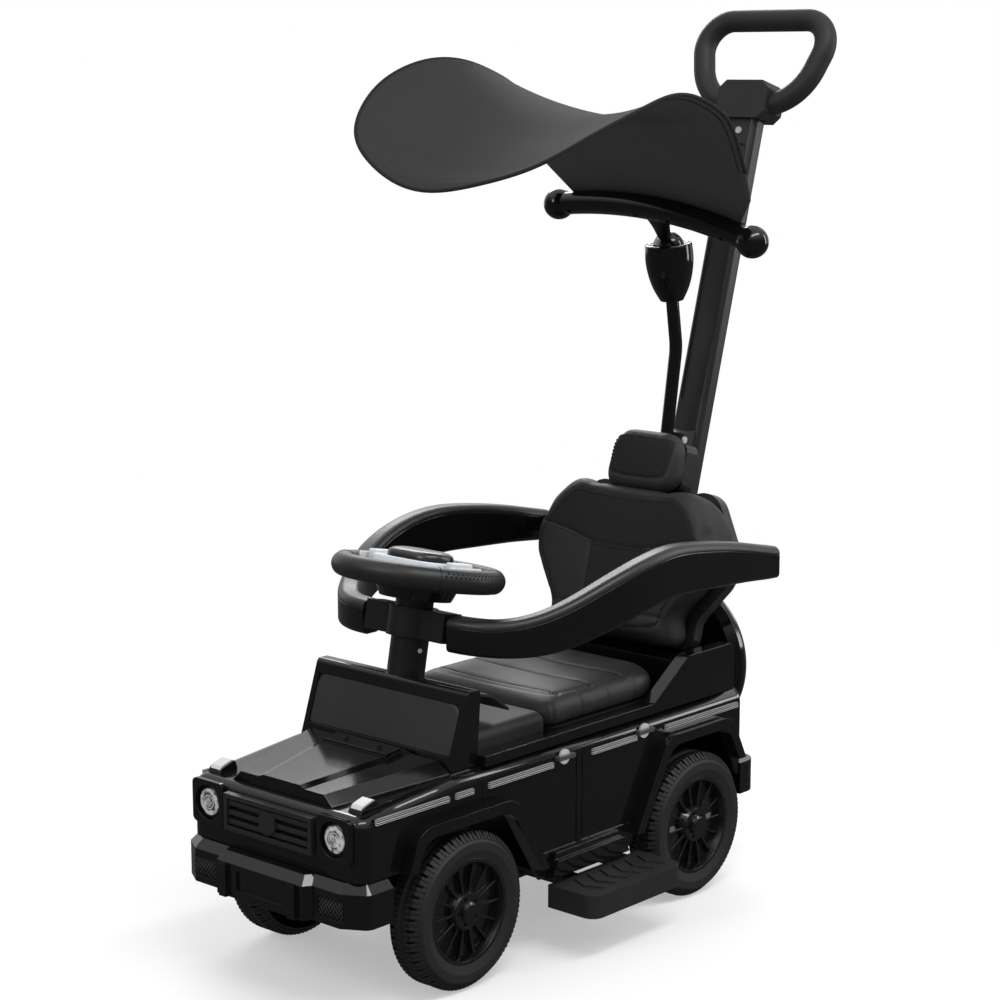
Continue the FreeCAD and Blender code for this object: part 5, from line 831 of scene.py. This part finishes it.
def buildCanopy(look):
    roll = math.radians(look["roll"])
    turn = np.array(((1, 0, 0), (0, math.cos(roll), -math.sin(roll)), (0, math.sin(roll), math.cos(roll))))

    def placed(points):
        return ((points.reshape(-1, 3) @ turn.T) + look["ball"]) * mm

    grid, halves = canopyGrid(look)
    rows, columns = grid.shape[:2]
    normal = unit(np.cross(np.gradient(grid, axis=0), np.gradient(grid, axis=1)))
    normal *= np.sign(normal[look["beadFrom"], columns // 2, 2])
    rim = np.vstack([grid[:, 0, :2], grid[::-1, -1, :2], grid[:1, 0, :2]])
    edge = lineDistance(grid[:, :, :2].reshape(-1, 2), rim).reshape(rows, columns)
    thick = look["thick"] + (look["hemThick"] - look["thick"]) * (edge < look["hem"])
    thick -= look["seam"] * np.exp(-((edge - look["hem"]) / look["seamSpread"]) ** 2)
    rise = normal * thick[:, :, None] / 2
    points = np.vstack([placed(grid + rise), placed(grid - rise)])
    mesh = buildMesh("canopy_sheet", points, sheetFaces(rows, columns))
    form = bmesh.new()
    form.from_mesh(mesh)
    bmesh.ops.recalc_face_normals(form, faces=form.faces)
    form.to_mesh(mesh)
    form.free()
    sheet = addPiece("canopy_sheet", mesh, "canopy", "canopyGrey")
    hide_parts("canopy_cloth")
    beadLine = np.vstack([grid[look["beadFrom"]:, 0], grid[-2:look["beadFrom"] - 1:-1, -1]])
    beadForm = tube(placed(beadLine), look["bead"] * mm, look["beadSides"])
    beadMesh = buildMesh("canopy_bead", *beadForm)
    bead = addPiece("canopy_bead", beadMesh, "canopy", "fabricBlack")
    inset = np.clip(1 - look["stitchAt"] / np.maximum(halves, look["stitchAt"] * 2), 0, 1)
    places = []
    for sign in (-1, 1):
        columnAt = (sign * inset + 1) / 2 * (columns - 1)
        picked = np.array([[np.interp(spot, range(columns), grid[row, :, axis]) for axis in range(3)]
                           for row, spot in enumerate(columnAt)])
        line = evenSpots(placed(picked[look["beadFrom"]:-look["stitchEnd"]]), thread["step"] * mm)
        heading = unit(np.gradient(line, axis=0))
        out = np.cross(heading, np.cross(heading, upward))
        out = unit(out * -np.sign(out[:, 2:3]))
        places.extend(zip(line + out * look["hemThick"] / 2 * mm, out, heading))
    stitches = addStitches("canopy_stitches", places, "canopy")


buildCanopy(canopyLook)


# small hard details, laid on the CAD forms
# a bar more upright than this takes its sides from the forward axis
steep = 0.9


# a round bar between two spots
def bar(start, end, radius, sides):
    heading = unit(end - start)
    side = unit(np.cross(heading, upward if abs(heading[2]) < steep else forward))
    up = np.cross(heading, side)
    return skin([circle(spot, side, up, radius, sides) for spot in (start, end)])


# a ring of round section, drawn in a plane given by two directions
def ring(centre, first, second, radius, thick, steps, sides):
    axis = np.cross(first, second)
    points = []
    for out in circle(np.zeros(3), first, second, 1, steps):
        points += circle(centre + out * radius, out, axis, thick, sides)
    faces = []
    for step in range(steps):
        here, ahead = step * sides, (step + 1) % steps * sides
        for side in range(sides):
            beyond = (side + 1) % sides
            faces.append((here + side, ahead + side, ahead + beyond, here + beyond))
    return points, faces


# a turned form from a profile of radii and rises
def dome(centre, first, second, profile, sides, closed=True):
    axis = np.cross(first, second)
    levels = [circle(centre + axis * rise, first, second, radius, sides) for radius, rise in profile]
    return skin(levels, closed)


# crossed slanting wires that fill an upright window
def lattice(x, low, high, bottom, top, look):
    forms = []
    reach = (top - bottom) / look["slope"]
    for sign in (1, -1):
        start = low - reach
        while start < high + reach:
            foot = np.array((x, start, bottom))
            course = np.array((0, sign * reach, top - bottom))
            begin, end = sorted(((low - start) / course[1], (high - start) / course[1]))
            begin, end = max(begin, 0), min(end, 1)
            if end - begin >= look["least"]:
                forms.append(bar(foot + course * begin, foot + course * end, look["wire"], look["sides"]))
            start += look["pitch"]
    return forms


# lamps: silver bowl with rings and a bulb, under a ribbed clear face; the bowl's colour carries painted
# reflections
lampLook = {"x": 404, "y": 91, "z": 182, "radius": 18, "dome": 4, "rings": ((13.4, 0.8), (7, 0.5)),
            "ringSteps": 48, "ringSides": 8, "bulb": ((3.2, 0), (2.72, 0.8), (1.28, 1.3)), "bulbSunk": 0.2,
            "bulbSides": 32, "ribs": 7, "ribHalf": 11.5, "ribThick": 0.45, "ribSunk": 0.3, "ribStart": 4,
            "ribLeast": 4.5, "ribSides": 5}
lampSilver = {"tone": 0.62, "rough": 0.2, "roughSpread": 0.06, "band": 9, "bowl": 13.2, "soft": 1,
              "patch": 150, "patchDetail": 1, "rays": 260, "mix": (0.3, 2.4, 0.4), "toneSpan": (1, 1.8),
              "shades": (0.16, 1.5), "rimShade": 0.012, "metal": 0.6, "bump": 0.3, "bumpDepth": 0.4,
              "edge": 0.4}
signalLook = {"share": (0.86, 0.8, 0.72), "lift": 2.6}


def silvered(graph, place, look):
    _, y, z = graph.parts(place)
    aside = abs(abs(y) - lampLook["y"] * mm)
    rise = abs(z - lampLook["z"] * mm)
    away = (aside * aside + rise * rise).root()
    # the bright and dark rings and blotches painted into the silver are painted reflections in the bowl;
    # outside the bowl the colour turns dark, as the black bezel
    reflectionRings = (away * (fullTurn / (look["band"] * mm))).sine()
    rays = graph.noise(place, look["rays"])
    patch = graph.noise(place, look["patch"], look["patchDetail"])
    bandPart, patchPart, rayPart = look["mix"]
    tone = graph.softStep(reflectionRings * bandPart + patch * patchPart + rays * rayPart, *look["toneSpan"])
    rim = graph.softStep(away, look["bowl"] * mm, (look["bowl"] + look["soft"]) * mm)
    colour = graph.blend(rim, graph.shades(tone, look), grey(look["tone"] * look["rimShade"]))
    metal = look["metal"] - rim * look["metal"]
    surface(graph, look, colour, look["rough"] + rays * look["roughSpread"], tone, metal)


def lensRise(distance):
    return lampLook["dome"] * (1 - (distance / lampLook["radius"]) ** 2)


def buildLamps(look):
    addFinish("lampSilver", silvered, lampSilver)
    setFinish(nodes["headlight_lenses"].data, "lampSilver")
    rings = []
    ribs = []
    bulbs = []
    for sign in (1, -1):
        middle = np.array((look["x"], look["y"] * sign, look["z"]), dtype=float)
        for radius, thick in look["rings"]:
            centre = middle + forward * lensRise(radius)
            rings.append(ring(centre, leftward, upward, radius, thick, look["ringSteps"], look["ringSides"]))
        centre = middle + forward * (look["dome"] - look["bulbSunk"])
        bulbs.append(dome(centre, leftward, upward, look["bulb"], look["bulbSides"]))
        for step in range(look["ribs"]):
            offset = (step - (look["ribs"] - 1) / 2) * 2 * look["ribHalf"] / look["ribs"]
            half = math.sqrt(look["ribHalf"] ** 2 - offset ** 2)
            for up in (1, -1):
                start = middle + (lensRise(offset) - look["ribSunk"], offset, up * look["ribStart"])
                end = middle + (lensRise(look["ribHalf"]), offset, up * max(half, look["ribLeast"]))
                ribs.append(bar(start, end, look["ribThick"], look["ribSides"]))
    addForms("lamp_rings", rings, "chassis", "signalSilver")
    addForms("lamp_ribs", ribs, "chassis", "signalSilver")
    addForms("lamp_bulbs", bulbs, "chassis", "bulbGrey")
    mesh = nodes["turn_signals"].data.copy()
    points = readPoints(mesh)
    for sign in (1, -1):
        side = points[:, 1] * sign > 0
        middle = (points[side].min(axis=0) + points[side].max(axis=0)) / 2
        points[side] = middle + (points[side] - middle) * signalLook["share"]
    writePoints(mesh, points + upward * signalLook["lift"] * mm)
    addPiece("signal_lenses", mesh, "chassis", "signalSilver")
    print("lamps made")


# wire meshes in the grille and in the bumper's windows
meshLook = {"slope": 1.2, "pitch": 4.6, "wire": 0.5, "sides": 5, "least": 0.05, "bumperX": 413.6,
            "windowY": (74, 108), "windowZ": (104, 124), "grilleX": 403.4, "grilleHalf": 58.5,
            "grilleZ": (165.5, 193.5)}


def buildMeshes(look):
    low, high = look["windowY"]
    half = look["grilleHalf"]
    windows = lattice(look["bumperX"], low, high, *look["windowZ"], look)
    windows += lattice(look["bumperX"], -high, -low, *look["windowZ"], look)
    addForms("bumper_mesh", windows, "chassis", "frameGrey")
    grille = lattice(look["grilleX"], -half, half, *look["grilleZ"], look)
    addForms("grille_mesh", grille, "chassis", "frameGrey")
    print("meshes made")


# steering grip: seams across the rim and, on the side patches, rows of small dark dots for the fine
# perforations: painted shade where their hollows would be
gripLook = {"centre": (192.6, 0, 399.8), "tilt": 11, "radius": 79, "section": 12.5, "patchTurn": (58, 122),
            "patchMargin": 1, "rows": (24, 40), "holeStep": 3.4, "hole": ((1.4, 0), (0.84, 0.12)),
            "holeSides": 8, "holeSunk": 0.05, "seamThick": 0.5, "seamSteps": 40, "seamSides": 6}
wheelAxes = leanAxes(gripLook["tilt"])


def onWheel(points):
    return list(np.array(points) @ wheelAxes + gripLook["centre"])


def buildGrip(look):
    ahead, left, up = wheelAxes
    holeShadeDots = []
    seams = []
    begin, end = look["patchTurn"]
    marks = np.arange(begin + look["holeStep"], end - look["patchMargin"], look["holeStep"])

    # the way out from the wheel's axis, the way along the rim, and the middle of the rim's section
    def rimPlace(degrees):
        turn = math.radians(degrees)
        out = ahead * math.cos(turn) + left * math.sin(turn)
        along = left * math.cos(turn) - ahead * math.sin(turn)
        return out, along, look["centre"] + out * look["radius"]

    for sign in (1, -1):
        for degrees in look["patchTurn"]:
            out, along, spot = rimPlace(degrees * sign)
            seams.append(ring(spot, out, up, look["section"], look["seamThick"], look["seamSteps"],
                              look["seamSides"]))
        for index, height in enumerate(look["rows"]):
            rise = math.radians(height)
            for degrees in marks + look["holeStep"] / 2 * (index % 2):
                out, along, spot = rimPlace(degrees * sign)
                normal = out * math.cos(rise) + up * math.sin(rise)
                spot = spot + normal * (look["section"] - look["holeSunk"])
                # each dot is a flat dark disc barely raised from the rim, painted shade standing in for a
                # hole
                holeShadeDots.append(dome(spot, along, np.cross(normal, along), look["hole"], look["holeSides"]))
    addForms("grip_hole_shade_dots", holeShadeDots, "steering", "threadAndHoleShadeBlack")
    addForms("grip_seams", seams, "steering", "threadAndHoleShadeBlack")
    print("grip made")


# an outline with round corners, y and z for each point
def roundOutline(low, high, half, lowRound, highRound, steps):
    outline = []
    bends = ((half, low, lowRound), (half, high, highRound),
             (-half, high, highRound), (-half, low, lowRound))
    for index, (y, z, radius) in enumerate(bends):
        centre = (y - math.copysign(radius, y), z + radius if z == low else z - radius)
        for step in range(steps + 1):
            angle = (index - 1 + step / steps) * fullTurn / 4
            outline.append((centre[0] + radius * math.cos(angle), centre[1] + radius * math.sin(angle)))
    return outline


# windshield pane: a satin panel with round corners in the frame's recess
paneLook = {"beltZ": 219, "topZ": 298, "lowX": 261, "highX": 235, "low": 233, "high": 284, "half": 102,
            "round": 12, "lowRound": 4, "sunk": 0.7, "thick": 1, "steps": 8, "edge": 1.2}


def buildPane(look):
    slope = (look["highX"] - look["lowX"]) / (look["topZ"] - look["beltZ"])
    levels = []
    for inset, rise in ((0, -look["thick"]), (0, -look["edge"] / 2), (look["edge"], 0)):
        outline = roundOutline(look["low"] + inset, look["high"] - inset, look["half"] - inset,
                               look["lowRound"], look["round"] - inset, look["steps"])
        front = look["lowX"] - look["sunk"] + rise
        levels.append([(front + slope * (z - look["beltZ"]), y, z) for y, z in outline])
    addForms("windshield_pane", [skin(levels)], "chassis", "paneGrey", False)
    print("pane made")


# cup: a smooth turned skin with a rolled lip
cupLook = {"foot": (-231.5, 0, 653), "lean": 7, "radius": 27.5, "height": 65, "proud": 0.35, "rows": 36,
           "sides": 56, "shares": ((0.48, 0), (0.74, 0.22), (0.93, 0.5), (1, 0.8), (0.97, 1)),
           "lip": ((0.955, 1.008), (0.9, 1.02), (0.82, 1.016), (0.76, 1.002))}


def buildCup(look):
    ahead, left, _ = leanAxes(-look["lean"])
    scale = (look["radius"] + look["proud"], look["height"])
    shares = np.array(look["shares"]) * scale
    wall = curveThrough(shares, len(shares) - 1, look["rows"])
    profile = np.vstack([wall, np.array(look["lip"]) * scale])
    form = dome(look["foot"], ahead, left, profile, look["sides"], False)
    addForms("cup_skin", [form], "chassis", "glossBlack")
    print("cup made")


# steering face: a pale panel round the horn, pale ends over the rim, caps on the horn and the buttons
faceLook = {"face": (30, 46.5, 12), "hole": (25.7, 37.2, 22.7), "low": -4, "high": 14, "edge": 1.6,
            "end": (24, 63.6, 66, -4, 13), "cap": (15, 48.4, 62.8, 0, 16.5), "blockRound": 4,
            "roundShare": 0.8, "bevel": ((0, 0, 1), (0.3, 0.3, 0.3), (1, 0.6, 0)), "horn": (25, 36.5, 22),
            "hornSteps": ((0, 4.2), (0, 18), (1.4, 20.8), (5, 22.8), (11, 24)), "steps": 8}


# an outline on the wheel at a height, drawn in by a step from its half sizes and its corner
def faceLevel(size, z, step=0, middleY=0):
    halfX, halfY, radius = (value - step for value in size)
    outline = roundOutline(-halfX, halfX, halfY, radius, radius, faceLook["steps"])
    return onWheel([(x, y + middleY, z) for y, x in outline])


def block(size, sign):
    halfX, lowY, highY, low, high = size
    half = (highY - lowY) / 2
    middle = sign * (highY + lowY) / 2
    edge = faceLook["edge"]
    radius = min(faceLook["blockRound"], half * faceLook["roundShare"])
    levels = [faceLevel((halfX, half, radius), low, 0, middle)]
    for along, aside, drop in faceLook["bevel"]:
        sides = (halfX - edge * along, half - edge * aside, radius - edge * aside)
        levels.append(faceLevel(sides, high - edge * drop, 0, middle))
    return skin(levels)


def buildFace(look):
    edge, face, hole, low, high = (look[key] for key in ("edge", "face", "hole", "low", "high"))
    levels = [faceLevel(hole, low), faceLevel(face, low), faceLevel(face, high - edge),
              faceLevel(face, high, edge), faceLevel(hole, high, -edge), faceLevel(hole, high - edge),
              faceLevel(hole, low)]
    forms = [skin(levels, False), block(look["end"], 1), block(look["end"], -1)]
    addForms("steering_face", forms, "steering", "insertGrey")
    for side, sign in (("left", 1), ("right", -1)):
        cap = [block(look["cap"], sign)]
        addForms("button_cap_" + side, cap, "button_" + side, "insertGrey")
    levels = [faceLevel(look["horn"], rise, inset) for inset, rise in look["hornSteps"]]
    addForms("horn_cap", [skin(levels)], "horn", "hornBlack")
    print("steering face made")


# belt edges: the round edge between deck and side, closed along its whole length
beltLook = {"half": 124, "round": 16, "level": 219, "rear": -204, "cowl": 263, "front": 382, "fall": 0.0992,
            "turns": (26, 62), "steps": 8, "thick": 2.6, "proud": 0.05}


def buildBelt(look):
    turns = np.radians(np.linspace(*look["turns"], look["steps"]))
    outer = look["round"] + look["proud"]
    outline = [(outer, turn) for turn in turns] + [(outer - look["thick"], turn) for turn in turns[::-1]]
    forms = []
    for sign in (1, -1):
        levels = []
        for x in (look["rear"], look["cowl"], look["front"]):
            low = look["level"] - look["round"] - max(0, x - look["cowl"]) * look["fall"]
            level = [(x, sign * (look["half"] - look["round"] + radius * math.cos(turn)),
                      low + radius * math.sin(turn)) for radius, turn in outline]
            levels.append(level[::sign])
        forms.append(skin(levels))
    addForms("belt_edges", forms, "chassis", "glossBlack")
    print("belt edges made")


# tyre treads: two rows of fine ribs that bend over the shoulders
treadLook = {"wheels": ((263.5, 118), (263.5, -118), (-113.5, 118), (-113.5, -118)), "radius": 81,
             "count": 88, "half": 1.35, "proud": 0.9, "sunk": 0.4,
             "stations": ((4.6, 81, 0), (13, 81, 20), (19.5, 74.5, 45))}


def buildTreads(look):
    for corner, (axleX, wheelY) in zip(corners, look["wheels"]):
        forms = []
        for index in range(look["count"]):
            turn = fullTurn * (index + 1 / 2) / look["count"]
            out = np.array((math.cos(turn), 0, math.sin(turn)))
            along = np.array((-math.sin(turn), 0, math.cos(turn))) * look["half"]
            for side in (1, -1):
                levels = []
                for aside, radius, bend in look["stations"]:
                    lean = math.radians(bend)
                    normal = out * math.cos(lean) + leftward * side * math.sin(lean)
                    spot = np.array((axleX, wheelY + side * aside, look["radius"])) + out * radius
                    top, foot = spot + normal * look["proud"], spot - normal * look["sunk"]
                    levels.append([foot - along, foot + along, top + along, top - along][::side])
                forms.append(skin(levels))
        addForms("tread_ribs_" + corner, forms, "wheel_" + corner, "tyreBlack", False)
    print("treads made")


# tower screw: a small bright head on the side of the tower
screwLook = {"at": (211.5, 19.6, 322), "out": (0.198, 0.979, 0.039), "sides": 16,
             "profile": ((2.6, -0.4), (2.6, 0.5), (1.7, 1.1))}


def buildScrew(look):
    first = unit(np.cross(look["out"], upward))
    form = dome(look["at"], first, np.cross(look["out"], first), look["profile"], look["sides"])
    addForms("tower_screw", [form], "chassis", "steelGrey")
    print("screw made")


buildLamps(lampLook)
buildMeshes(meshLook)
buildGrip(gripLook)
buildFace(faceLook)
buildBelt(beltLook)
buildTreads(treadLook)
buildScrew(screwLook)
buildPane(paneLook)
buildCup(cupLook)
